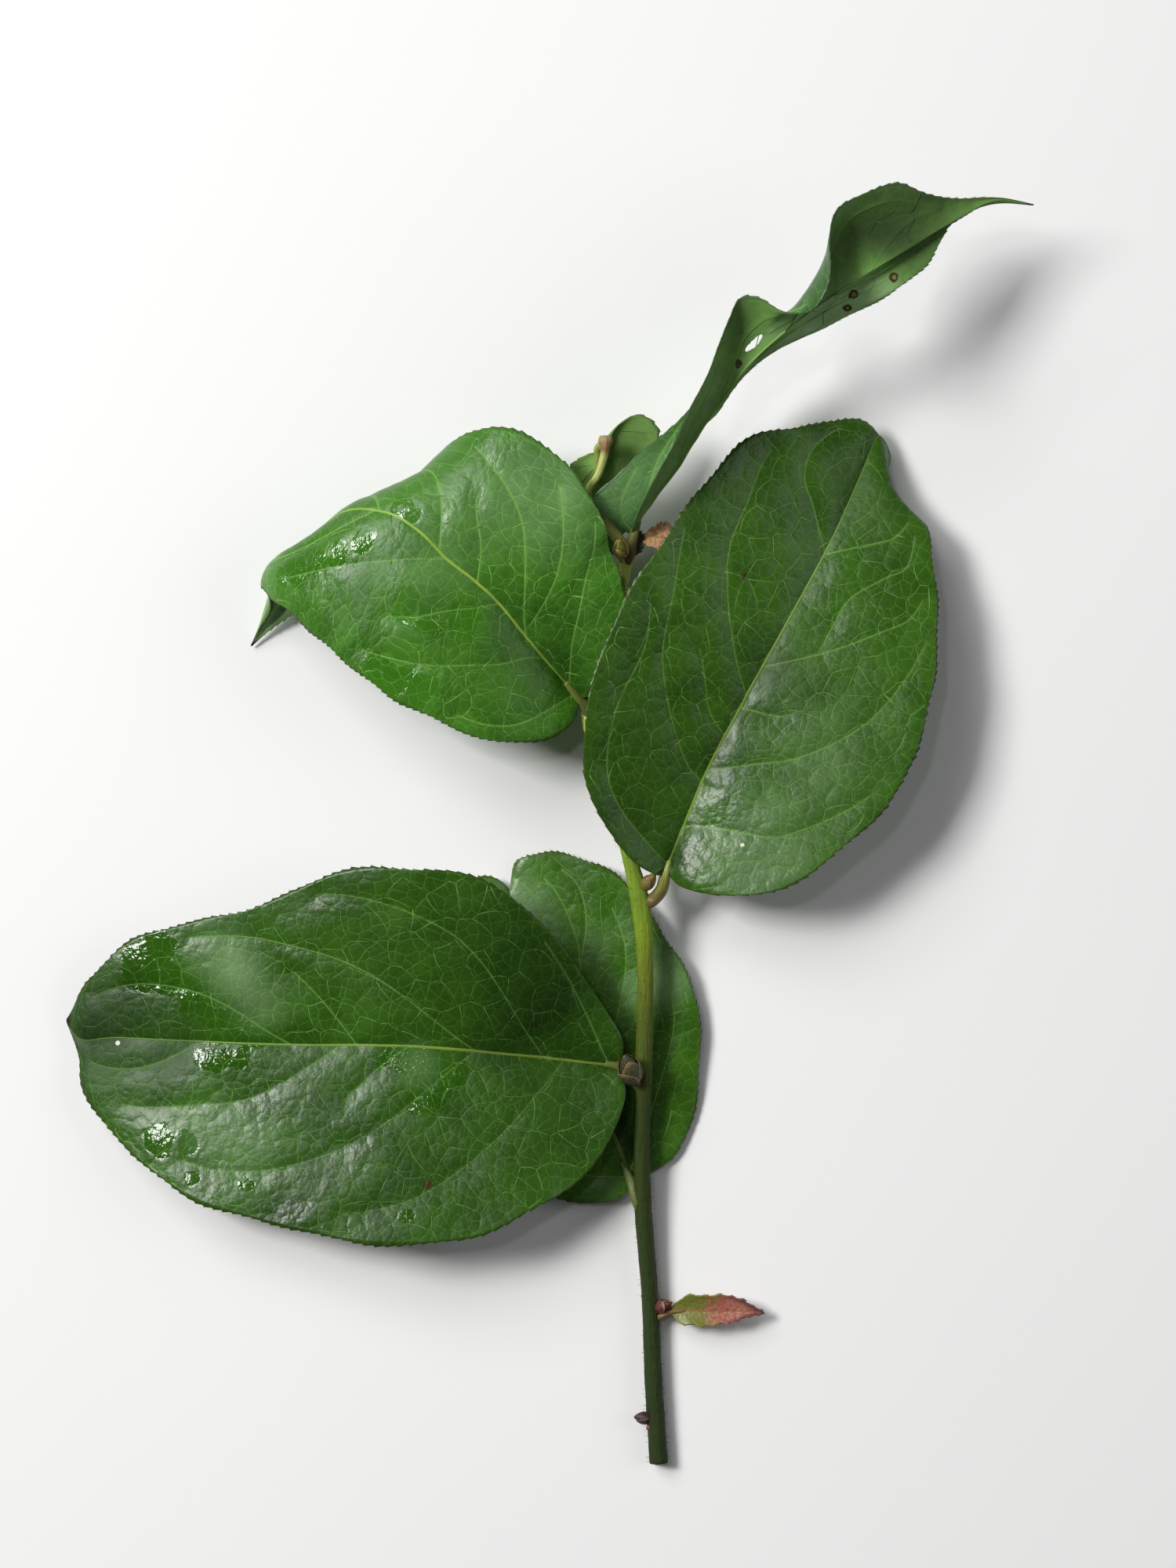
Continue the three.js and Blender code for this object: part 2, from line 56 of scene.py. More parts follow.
# Each grown leaf: guides for its midrib and for its margins between the midrib's ends, how far each half
# arches, its petiole, and its main side veins as (share along, share across) from the midrib outward. Wet
# places and glitter of drops are (share along, share across, size in millimetres); painted shade spots
# (painted light above 0, painted shade below) and dulls also have an amount, and marks a kind.
leafShapes = {
    "leaf_lower_back": {
        "midrib": [
            (16.5, -63.5, 3.5), (13, -55, 3), (8.5, -45.5, 3), (3.5, -34, 3), (-1.5, -21.5, 3),
            (-5.5, -13, 2), (-6.5, -10.5, 1.5), (-6, -12.5, 0.5),
        ],
        "left": [
            (14.5, -66.5, 3), (8.5, -67.5, 3), (1.5, -66, 3), (-7.5, -60, 3.5), (-14.5, -49.5, 4),
            (-18, -36.5, 4), (-19, -25, 4), (-17, -13.5, 3.5), (-13, -8.5, 3), (-9.5, -7.5, 2.5),
            (-6.5, -9.5, 1.5),
        ],
        "right": [
            (18, -63, 2), (21, -61.5, 1), (25, -58, 1), (28, -50, 1), (29, -40.5, 2), (28.5, -31.5, 2.5),
            (25.5, -23.5, 3), (21, -16, 3), (15, -8.5, 3), (8.5, -4.5, 2.5), (2, -3, 2), (-3.5, -4, 1.5),
            (-5.5, -6.5, 1),
        ],
        "leftBulge": [0.3, 0.4, 0.4, 0.3],
        "rightBulge": [0, -0.1, -0.1, 0.1],
        "petiole": [(18.5, -69.5, 3.75), (17.25, -66.75, 4), (16.25, -63.5, 3.5), (14.5, -60, 3)],
        "petioleRadii": [1.1, 1, 0.9, 0.6],
        "leftVeins": [
            [(0.01, 0), (0.05, 0.3), (0.12, 0.62), (0.22, 0.8), (0.32, 0.88)],
            [(0.2, 0), (0.25, 0.15), (0.34, 0.42), (0.45, 0.7), (0.55, 0.85)],
            [(0.38, 0), (0.44, 0.15), (0.54, 0.45), (0.65, 0.72), (0.72, 0.82)],
            [(0.58, 0), (0.64, 0.2), (0.74, 0.5), (0.82, 0.7)],
        ],
        "rightVeins": [
            [(0.01, 0), (0.1, 0.3), (0.2, 0.56), (0.3, 0.78), (0.4, 0.87)],
            [(0.25, 0), (0.32, 0.15), (0.4, 0.36), (0.5, 0.68), (0.6, 0.8)],
            [(0.47, 0), (0.53, 0.15), (0.6, 0.36), (0.7, 0.52), (0.8, 0.7)],
            [(0.6, 0.38), (0.64, 0.58), (0.7, 0.76), (0.76, 0.84)],
            [(0.64, 0), (0.71, 0.18), (0.8, 0.4), (0.87, 0.6)],
        ],
        # Painted light and shade on this leaf, as soft spots.
        "paintedShadeSpots": [
            (0.54, 0.53, 8, 0.3), (0.397, 0.81, 6, 0.6), (0.08, -0.3, 8, -0.2), (0.72, 0.59, 8, -0.25),
            (0.05, -0.6, 5, 0.3), (0.86, 0.15, 7, 0.8), (0.57, 0.25, 6, -0.25), (0.491, 0.66, 3.5, -0.5),
            (0.3, 0.85, 6, -0.15),
        ],
        "petioleColours": ((0.13, 0.15, 0.03), (0.16, 0.25, 0.05)),
    },
    "leaf_lower_left": {
        "midrib": [
            (14.5, -42, 8.5), (1.5, -40.5, 9.5), (-13, -39, 11), (-27, -38, 12), (-44.5, -38, 10.5),
            (-63, -37.5, 8.5), (-78, -37, 5.5), (-85, -37.5, 3), (-88, -34, 2),
        ],
        "left": [
            (15, -48, 9.5), (12, -55.5, 10.5), (6.5, -62.5, 12), (-1.5, -67.5, 15), (-13, -72.5, 16.5),
            (-30, -73.5, 16.5), (-45.5, -71, 14.5), (-64.5, -65.5, 11), (-78, -55.5, 6), (-84, -47, 4),
            (-85.5, -40.5, 3),
        ],
        "right": [
            (14.5, -37, 9.5), (11.5, -31.5, 11), (7, -24.5, 12.5), (0.5, -16.5, 15), (-10, -8, 17),
            (-24, -5.5, 17.5), (-37, -6.5, 15), (-50, -12, 12), (-63, -15.5, 10), (-75, -19, 7.5),
            (-83, -26, 5), (-86, -31, 3),
        ],
        "leftBulge": [0.2, 0, 0, 0, 0.3, 0.5],
        "rightBulge": [0.3, 0.5, 0.5, 0.5, 0.6, 0.5],
        "petiole": [(18, -46, 6.5), (16.25, -44, 7.5), (14.5, -42.25, 8.5), (11.5, -41.5, 9)],
        "petioleRadii": [1.2, 1.1, 0.9, 0.6],
        "leftVeins": [
            [(0.1, 0), (0.14, 0.22), (0.2, 0.47), (0.3, 0.76), (0.4, 0.88)],
            [(0.255, 0), (0.3, 0.14), (0.4, 0.48), (0.5, 0.69), (0.6, 0.8), (0.66, 0.83)],
            [(0.49, 0), (0.52, 0.1), (0.6, 0.34), (0.7, 0.5), (0.8, 0.73)],
            [(0.735, 0), (0.8, 0.3), (0.9, 0.62)],
            [(0.37, 0), (0.41, 0.12), (0.45, 0.3)],
        ],
        "rightVeins": [
            [(0.135, 0), (0.2, 0.34), (0.25, 0.56), (0.3, 0.69), (0.4, 0.83), (0.48, 0.92)],
            [(0.255, 0), (0.3, 0.1), (0.4, 0.37), (0.5, 0.6), (0.6, 0.8), (0.7, 0.89)],
            [(0.46, 0), (0.49, 0.2), (0.51, 0.33), (0.54, 0.5)],
            [(0.575, 0), (0.61, 0.1), (0.7, 0.4), (0.8, 0.57), (0.9, 0.7)],
            [(0.02, 0), (0.05, 0.45), (0.09, 0.75), (0.14, 0.9)],
        ],
        "wet": [
            (0.76, 0.56, 3.5), (0.722, 0.41, 3.5), (0.685, 0.27, 3.5), (0.65, 0.15, 3), (0.625, 0.06, 2.5),
            (0.8, 0.66, 4), (0.79, 0.8, 4), (0.76, 0.83, 4), (0.7, -0.1, 3.5), (0.66, -0.08, 3),
            (0.38, -0.05, 4), (0.337, -0.08, 4), (0.308, -0.21, 3.6), (0.28, -0.12, 2.5),
            (0.33, -0.28, 2.5), (0.707, -0.79, 3.2), (0.66, -0.72, 2.5), (0.55, -0.83, 1.6),
            (0.63, -0.9, 1.6), (0.31, -0.86, 1.6),
        ],
        "glitter": [
            (0.76, 0.56, 2.5), (0.722, 0.41, 3), (0.685, 0.27, 3), (0.65, 0.15, 2.6), (0.625, 0.06, 2),
            (0.79, 0.78, 2.5), (0.7, -0.1, 2.5), (0.66, -0.08, 2), (0.38, -0.05, 3), (0.337, -0.08, 3.6),
            (0.308, -0.21, 4), (0.28, -0.12, 2), (0.707, -0.79, 2), (0.315, -0.86, 1.2), (0.55, -0.83, 1.2),
        ],
        # Painted light and shade on this leaf, as soft spots.
        "paintedShadeSpots": [
            (0.134, 0.76, 17, -0.5), (0.154, 0.25, 10, -0.3), (0.9, 0.2, 11, -0.35), (0.98, 0, 8, -0.3),
            (0.65, 0.72, 6, 0.22), (0.635, 0.55, 4.5, 0.4), (0.61, 0.28, 5, 0.25), (0.75, -0.1, 6, -0.3),
            (0.238, -0.61, 13, -0.22), (0.07, -0.45, 10, -0.3), (0.42, -0.45, 9, -0.25),
            (0.55, -0.25, 8, -0.25), (0.47, -0.97, 8, -0.45), (0.355, -0.91, 9, -0.2),
            (0.486, 0.89, 8, -0.25), (0.337, -0.1, 5, 0.3), (0.25, 0, 6, -0.2), (0.83, 0.6, 7, -0.25),
            (0.57, -0.6, 7, 0.25), (0.66, -0.62, 6, 0.15),
        ],
        "dulls": [(0.9, -0.15, 9, 0.8), (0.79, -0.13, 6, 0.7)],
        "marks": [(0.876, -0.1, 0.45, "pale"), (0.154, 0.24, 0.6, "dark"), (0.29, -0.7, 0.9, "brown")],
        "petioleColours": ((0.1, 0.1, 0.02), (0.16, 0.2, 0.035)),
    },
    "leaf_right": {
        "midrib": [
            (22.5, -6, 11.5), (29.5, 11, 13), (36, 23.5, 13.5), (44, 38, 13), (52.5, 53.5, 10.5),
            (58, 65.5, 7.5), (61.5, 73.5, 4.5), (64, 70.5, 2.5), (63.5, 67, 0.5),
        ],
        "left": [
            (21, -7, 12.5), (15.5, -3.5, 15), (10, 5, 17.5), (7.5, 13.5, 19.5), (8, 23.5, 21),
            (11, 33.5, 21.5), (15.5, 43.5, 21.5), (22.5, 54.5, 20), (30, 64.5, 17.5), (38.5, 73, 14.5),
            (47, 74.5, 11.5), (56, 76.5, 7), (60.5, 75, 5), (63.3, 71.5, 3), (63.8, 68.2, 1.2),
        ],
        "right": [
            (25.5, -9, 13), (34, -10.5, 16), (44, -9, 17.5), (55, -1.5, 18), (64.5, 9, 17), (70, 23, 16),
            (71.5, 35, 14.5), (71.5, 46.5, 12), (70, 56.5, 9), (66, 59.5, 6.5), (61.9, 64.3, 3.5),
        ],
        "leftBulge": [0.1, -0.2, -0.2, 0, 0.5, 0.8],
        "rightBulge": [0.3, 0.5, 0.5, 0.6, 0.8, 0.8],
        "petiole": [
            (18.25, -12.25, 9.25), (20.25, -11.5, 9.5), (21.75, -9.5, 10.5), (22.5, -6.75, 11.25),
            (23.25, -4.25, 11.25),
        ],
        "petioleRadii": [1.4, 1.25, 1.15, 0.95, 0.5],
        "leftVeins": [
            [(0.01, 0), (0.04, 0.4), (0.1, 0.74), (0.2, 0.78), (0.3, 0.74), (0.36, 0.84)],
            [(0.175, 0), (0.2, 0.2), (0.3, 0.58), (0.4, 0.76), (0.48, 0.93)],
            [(0.355, 0), (0.4, 0.22), (0.5, 0.57), (0.6, 0.71), (0.68, 0.84)],
            [(0.66, 0), (0.69, 0.3), (0.705, 0.52), (0.755, 0.75), (0.82, 0.85)],
            [(0.27, 0), (0.29, 0.17), (0.33, 0.3), (0.36, 0.42)],
        ],
        "rightVeins": [
            [(0.085, 0), (0.11, 0.15), (0.14, 0.4), (0.165, 0.62), (0.2, 0.73), (0.25, 0.83), (0.3, 0.9)],
            [(0.2, 0), (0.22, 0.1), (0.25, 0.23), (0.3, 0.44), (0.4, 0.68), (0.5, 0.82), (0.58, 0.93)],
            [(0.415, 0), (0.45, 0.15), (0.5, 0.36), (0.56, 0.6), (0.6, 0.77), (0.65, 0.88)],
            [(0.475, 0.26), (0.54, 0.28), (0.6, 0.33), (0.66, 0.54), (0.7, 0.72), (0.77, 0.8)],
            [(0.655, 0), (0.7, 0.28), (0.74, 0.55), (0.79, 0.72)],
            [(0.33, 0), (0.34, 0.15), (0.35, 0.25)],
        ],
        # Painted light and shade on this leaf, as soft spots.
        "paintedShadeSpots": [
            (0.16, 0.6, 12, 0.15), (0.1, 0.8, 7, 0.1), (0.337, 0.51, 9, 0.15), (0.2, -0.55, 16, -0.25),
            (0.06, -0.65, 9, -0.3), (0.75, -0.7, 9, -0.15), (0.4, 0.08, 8, -0.3), (0.787, 0.16, 7, -0.2),
            (0.037, 0.19, 4, -0.4), (0.25, 0.06, 7, -0.25),
        ],
        "dulls": [(0.43, 0.1, 7, 0.5), (0.787, 0.16, 8, 0.5)],
        "marks": [(0.129, 0.51, 0.4, "pale"), (0.504, -0.42, 0.55, "brown")],
        "petioleColours": ((0.16, 0.075, 0.026), (0.26, 0.34, 0.04)),
    },
    "leaf_upper_left": {
        "midrib": [
            (7, 25, 12.5), (2, 30.5, 15), (-3.5, 37, 17.5), (-8, 42.5, 19.5), (-12.5, 46.5, 21),
            (-17, 50, 22), (-22, 55, 22), (-28, 58.5, 20.5), (-35.5, 59, 17), (-42, 54, 11.5),
            (-47.5, 45.5, 6), (-54, 35, 0.5),
        ],
        "left": [
            (5.5, 21, 13.5), (2, 18.5, 15), (-3, 17.5, 17), (-10, 17.5, 19), (-18.5, 21, 20), (-27, 25.5, 20),
            (-34, 30.5, 18.5), (-39.5, 35.5, 16.5), (-45, 40.5, 14.5), (-48.5, 43, 12.5), (-51, 45.5, 10),
            (-50, 42.5, 6),
        ],
        "right": [
            (10, 26, 13), (13, 31, 16), (15, 38, 18), (14.25, 46, 19), (12.25, 52, 20), (11.5, 56.5, 22),
            (8, 62, 23), (4.5, 67, 22.5), (-2.5, 72, 21.5), (-10, 73.5, 19.5), (-17, 71, 15), (-25, 61, 9),
            (-32.5, 51.5, 5), (-45.5, 42, 3),
        ],
        "leftBulge": [0.4, 0.7, 1, 1, 1.5, 2, 3, 3, 1],
        "rightBulge": [0.4, 0.7, 0.8, 0.8, 1.2, 2, 2.5, 2.5, 2, 1],
        "petiole": [(8.75, 22, 11), (8, 23.75, 11.75), (6.75, 25, 12.5), (4.25, 28, 13.75)],
        "petioleRadii": [1.1, 1.1, 0.9, 0.6],
        "leftVeins": [
            [(0.01, 0), (0.05, 0.4), (0.1, 0.75), (0.16, 0.86), (0.22, 0.9)],
            [(0.11, 0), (0.15, 0.15), (0.2, 0.38), (0.3, 0.65), (0.4, 0.8), (0.46, 0.87)],
            [(0.25, 0), (0.29, 0.15), (0.34, 0.3), (0.39, 0.47), (0.44, 0.58)],
            [(0.385, 0), (0.42, 0.1), (0.5, 0.31), (0.6, 0.52), (0.68, 0.7)],
            [(0.56, 0), (0.62, 0.2), (0.72, 0.45), (0.82, 0.65)],
        ],
        "rightVeins": [
            [(0.03, 0), (0.06, 0.15), (0.1, 0.33), (0.14, 0.6), (0.17, 0.8), (0.2, 0.93)],
            [(0.165, 0), (0.2, 0.1), (0.25, 0.32), (0.3, 0.53), (0.375, 0.72), (0.42, 0.86)],
            [(0.175, 0.06), (0.185, 0.3), (0.2, 0.5), (0.23, 0.7), (0.27, 0.86)],
            [(0.31, 0), (0.335, 0.2), (0.365, 0.36), (0.38, 0.48)],
            [(0.405, 0), (0.43, 0.25), (0.455, 0.45), (0.49, 0.62), (0.54, 0.78)],
            [(0.55, 0), (0.59, 0.25), (0.65, 0.5), (0.72, 0.7)],
        ],
        "wet": [
            (0.55, -0.24, 3), (0.588, -0.38, 3), (0.62, -0.5, 3), (0.66, -0.64, 2.8), (0.7, -0.78, 2.5),
            (0.504, 0.1, 3), (0.387, -0.42, 4), (0.3, -0.27, 3.5), (0.3, -0.85, 3.5), (0.4, -0.9, 3.5),
        ],
        "glitter": [
            (0.55, -0.24, 2), (0.588, -0.38, 2.2), (0.62, -0.5, 2.2), (0.66, -0.64, 2.2), (0.7, -0.78, 2),
            (0.504, 0.1, 1.8), (0.4, -0.48, 1.8), (0.33, -0.36, 1.5),
        ],
        # Painted light and shade on this leaf, as soft spots.
        "paintedShadeSpots": [
            (0.283, 0.7, 10, 0.22), (0.38, 0.5, 9, 0.15), (0.4, -0.1, 8, 0.2), (0.6, 0.1, 7, 0.1),
            (0.095, 0.05, 8, -0.5), (0.95, 0.3, 10, 1.0), (0.25, -0.1, 9, -0.15), (0.52, -0.5, 7, -0.2),
        ],
        "dulls": [(0.5, -0.56, 7, 0.7)],
        "petioleColours": ((0.07, 0.09, 0.02), (0.2, 0.26, 0.04)),
    },
    "leaf_top": {
        "midrib": [
            (16, 54.5, 15.5), (19.5, 61, 18.5), (23, 65.5, 20.5), (26, 70, 22), (29, 74.5, 23.5),
            (35.5, 83, 25.5), (40.5, 88, 26.5), (46.5, 93, 27.5), (52.5, 97, 28), (63, 103.5, 27.5),
            (72.5, 109.5, 25.5), (81, 114, 23.5), (88.5, 113.5, 22),
        ],
        "left": [
            (14, 55.5, 16), (12, 58, 17.5), (9.5, 59.5, 19), (9.5, 61.5, 19.5), (13.5, 65, 20),
            (18, 69.5, 20), (24, 74.5, 18.5), (27.5, 78, 16.5), (29.5, 77.5, 14.5), (30, 75.5, 13.5),
            (32, 77, 14), (35, 81.5, 15.5), (38, 84.5, 17), (42, 87.5, 20), (47.5, 90, 22.5),
            (53.5, 92.5, 24.5), (62, 97, 26), (68.5, 102, 25.5), (72, 107.5, 24.5), (73.5, 110, 24.5),
            (80.5, 113.5, 23.5),
        ],
        "right": [
            (17, 57, 20), (18.5, 60.5, 25), (21, 65, 29), (23.5, 69.5, 31.5), (26, 75, 33), (29.5, 81.5, 33),
            (31.5, 87, 32), (33.5, 92, 31), (35.5, 95.5, 30), (39, 95.5, 30.5), (43, 93, 33), (47, 92.5, 36),
            (49.5, 95, 37.5), (51, 99.5, 37), (51, 106, 34), (52.5, 111, 33), (57, 114, 31.5), (63, 116, 30),
            (68.5, 114.5, 28), (75, 114, 25), (81.5, 114.5, 23.5),
        ],
        "leftEase": 0.6,
        "rightEase": 0.9,
        "leftBulge": [0.5, 0.5, 0.5, 0.5, 0.5, 1, 1, 1, 0.5],
        "rightBulge": [0.5, 0.5, 0.5, 0.5, 1.5, 3, 3, 1, 1, 0.5],
        "petiole": [(15, 49.75, 13.75), (16, 51.5, 14.5), (16.25, 53.5, 15.25), (17.5, 57.25, 16.75)],
        "petioleRadii": [1.1, 1.1, 1, 0.6],
        "leftVeins": [
            [(0.01, 0), (0.02, 0.3), (0.035, 0.6), (0.06, 0.8)],
            [(0.07, 0), (0.085, 0.3), (0.1, 0.6), (0.13, 0.85)],
            [(0.22, 0), (0.28, 0.3), (0.36, 0.6), (0.44, 0.8)],
            [(0.4, 0), (0.48, 0.25), (0.57, 0.5), (0.66, 0.7)],
            [(0.58, 0), (0.66, 0.25), (0.74, 0.5), (0.82, 0.65)],
        ],
        "rightVeins": [
            [(0.02, 0), (0.06, 0.4), (0.12, 0.7), (0.2, 0.86)],
            [(0.16, 0), (0.21, 0.3), (0.28, 0.6), (0.36, 0.82)],
            [(0.3, 0), (0.36, 0.3), (0.43, 0.6), (0.5, 0.82)],
            [(0.47, 0), (0.54, 0.3), (0.6, 0.58), (0.66, 0.72), (0.71, 0.76), (0.77, 0.7), (0.82, 0.58)],
            [(0.66, 0), (0.73, 0.22), (0.81, 0.45)],
        ],
        # Painted light and shade on this leaf, as soft spots.
        "paintedShadeSpots": [
            (0.76, 0.3, 10, -0.6), (0.7, 0.25, 6, -0.35), (0.55, 0.3, 5, -0.25), (0.51, -0.64, 7, 1.2),
            (0.6, -0.7, 5, 0.6), (0.6, 0.6, 6, -0.4), (0.42, -0.65, 6, 0.9), (0.68, 0.95, 3.5, 0.6),
            (0.288, 0.07, 10, 0.2), (0.38, 0.6, 5, -0.35), (0.05, -0.5, 9, 0.4),
        ],
        "marks": [
            (0.625, -0.7, 0.75, "scar"), (0.571, -0.4, 0.85, "scar"), (0.519, -0.67, 0.8, "scar"),
            (0.36, 0.15, 0.8, "brown"),
        ],
        "hole": {"at": (0.4, 0.22), "length": 4, "width": 1.1},
        "petioleColours": ((0.2, 0.1, 0.03), (0.16, 0.25, 0.05)),
    },
    "leaf_terminal": {
        "midrib": [
            (10.5, 68.5, 17), (9, 63.5, 14.5), (5.5, 56.5, 11.5), (1.5, 48.5, 8), (-3, 41, 4.5),
            (-7.5, 34, 1.5),
        ],
        "left": [
            (9.5, 69.5, 17), (7, 68.5, 16), (4.5, 66, 15), (1.5, 59.5, 12), (-1.5, 52.5, 9), (-4.5, 45.5, 6),
            (-6.5, 38.5, 3),
        ],
        "right": [
            (12, 71.5, 17), (14, 74.5, 17), (17.5, 76.5, 16.5), (20.5, 74.5, 15.5), (21, 71.5, 14.5),
            (18.5, 63.5, 12), (14, 54, 9), (7, 44, 5.5), (0, 37.5, 3),
        ],
        "leftBulge": [1, 1, 1],
        "rightBulge": [1, 1, 1],
        "petiole": [(11.5, 71, 19.5), (10.25, 70.25, 18.25), (10.25, 68.75, 17), (9.75, 65.5, 15.75)],
        "petioleRadii": [0.8, 0.8, 0.8, 0.5],
        "leftVeins": [
            [(0.02, 0), (0.1, 0.3), (0.2, 0.6), (0.32, 0.82)],
            [(0.25, 0), (0.34, 0.3), (0.46, 0.6), (0.58, 0.8)],
            [(0.5, 0), (0.6, 0.3), (0.72, 0.58)],
        ],
        "rightVeins": [
            [(0.02, 0), (0.08, 0.3), (0.18, 0.6), (0.3, 0.82)],
            [(0.22, 0), (0.32, 0.3), (0.44, 0.6), (0.56, 0.8)],
            [(0.48, 0), (0.58, 0.3), (0.7, 0.58)],
        ],
        "petioleColours": ((0.3, 0.36, 0.08), (0.26, 0.36, 0.07)),
    },
}

detail = {
    "lineSamples": 900, "tableRows": 801, "reach": (0.004, 0.993), "nearestGrid": (70, 41), "newtonSteps": 8,
}


def unit(v):  # v / |v|
    return v / np.maximum(np.linalg.norm(v, axis=-1, keepdims=True), 1e-9)


# A cubic through each pair of neighbouring values, whose slopes are half the step between their neighbours.
def throughPoints(values, t):
    v = np.asarray(values, float)
    v = v[:, None] if v.ndim == 1 else v
    v = np.vstack([2 * v[0] - v[1], v, 2 * v[-1] - v[-2]])
    n = len(v) - 3
    t = np.clip(np.asarray(t, float), 0, 1) * n
    i = np.minimum(t.astype(int), n - 1)
    f = (t - i)[..., None]
    a, b, c, d = v[i], v[i + 1], v[i + 2], v[i + 3]
    return 0.5 * (2 * b + (c - a) * f + (2 * a - 5 * b + 4 * c - d) * f**2 + (3 * b - a - 3 * c + d) * f**3)


# The smooth line read at equal shares of its length; columns after the third ride along, such as a radius.
def evenPlaces(points, share):
    dense = throughPoints(points, np.linspace(0, 1, detail["lineSamples"]))
    run = np.concatenate([[0], np.cumsum(np.linalg.norm(np.diff(dense[:, :3], axis=0), axis=1))])
    return np.stack(
        [np.interp(share * run[-1], run, dense[:, k]) for k in range(dense.shape[1])], -1), run[-1]


# A leaf's guides read at even shares u of the midrib; the margins are read at u^ease.
def leafTable(shape):
    u = np.linspace(0, 1, detail["tableRows"])
    mid, length = evenPlaces(shape["midrib"], u)
    table = {"u": u, "length": length, "mid": mid, "forward": unit(np.gradient(mid, axis=0))}
    for side in ("left", "right"):
        margin = [shape["midrib"][0], *shape[side], shape["midrib"][-1]]
        table[side] = evenPlaces(margin, u ** shape.get(side + "Ease", 0.75))[0]
        table[side + "Bulge"] = throughPoints(shape[side + "Bulge"], u)[:, 0]
    return table


def readTable(table, name, u):  # one column at u, straight between its rows
    column = table[name]
    if column.ndim == 1:
        return np.interp(u, table["u"], column)
    return np.stack([np.interp(u, table["u"], column[:, k]) for k in range(3)], -1)


# u runs from petiole to tip, y from the left margin (-1) over the midrib (0) to the right margin (1).
# The point is midrib + |y| x chord to the margin + bulge x 4|y|(1 - |y|) along the half's own normal.
def bladePoint(table, u, y):
    right = y > 0
    mid, forward = readTable(table, "mid", u), readTable(table, "forward", u)
    chord = np.where(right[..., None], readTable(table, "right", u), readTable(table, "left", u)) - mid
    outward = unit(np.cross(forward, chord)) * np.where(right, -1, 1)[..., None]
    bulge = np.where(right, readTable(table, "rightBulge", u), readTable(table, "leftBulge", u))
    bulge = bulge * np.minimum(1, np.linalg.norm(chord, axis=-1) / 8)
    a = np.abs(y)
    return mid + chord * a[..., None] + outward * (bulge * 4 * a * (1 - a))[..., None]


# The same place on the leaf pressed flat: how far along the midrib and how far out from it.
def flatPlace(table, u, y):
    right = (y > 0)[..., None]
    mid, forward = readTable(table, "mid", u), readTable(table, "forward", u)
    chord = np.where(right, readTable(table, "right", u), readTable(table, "left", u)) - mid
    along = (chord * forward).sum(-1)
    across = np.sqrt(np.maximum((chord**2).sum(-1) - along**2, 1e-6))
    a = np.abs(y)
    return np.stack([u * table["length"] + along * a, np.sign(y) * across * a], -1)


# Finds (u, y) for flat places: the nearest of a coarse grid, then Newton's steps.
# Also returns what is missed.
def sharesAt(table, flat):
    rows, columns = detail["nearestGrid"]
    grid = np.meshgrid(np.linspace(0.01, 0.99, rows), np.linspace(-1, 1, columns), indexing="ij")
    gridU, gridY = (g.ravel() for g in grid)
    known = flatPlace(table, gridU, gridY)
    nearest = np.concatenate([
        ((some[:, None] - known[None]) ** 2).sum(-1).argmin(1)
        for some in np.array_split(flat, 1 + len(flat) // 1500)
    ])
    u, y = gridU[nearest], gridY[nearest]
    for _ in range(detail["newtonSteps"]):
        here = flatPlace(table, u, y)
        byU = (flatPlace(table, u + 1e-3, y) - here) / 1e-3
        byY = (flatPlace(table, u, y + 1e-3) - here) / 1e-3
        turn = byU[:, 0] * byY[:, 1] - byU[:, 1] * byY[:, 0]
        turn = np.where(np.abs(turn) < 1e-3, 1e-3, turn)
        miss = flat - here
        u = u + np.clip((miss[:, 0] * byY[:, 1] - miss[:, 1] * byY[:, 0]) / turn, -0.05, 0.05)
        y = y + np.clip((byU[:, 0] * miss[:, 1] - byU[:, 1] * miss[:, 0]) / turn, -0.1, 0.1)
        u, y = np.clip(u, 0.004, 0.996), np.clip(y, -1, 1)
    return u, y, np.linalg.norm(flat - flatPlace(table, u, y), axis=-1)


# Upward normal of the blade: across x ahead, from two short steps along it.
def bladeNormal(table, u, y):
    step = 4e-3
    ahead = bladePoint(table, np.minimum(u + step, 1), y) - bladePoint(table, np.maximum(u - step, 0), y)
    side = np.where(y < 0, -1, 1)
    outer = np.clip(np.abs(y) + step, 0, 1)
    across = bladePoint(table, u, side * outer) - bladePoint(table, u, side * (outer - 2 * step))
    return unit(np.cross(across * side[..., None], ahead))


# A mesh part: its points, faces, material number and per-point values.
def part(points, faces, material=0, **values):
    return {"points": points, "faces": faces, "material": material, "values": values}


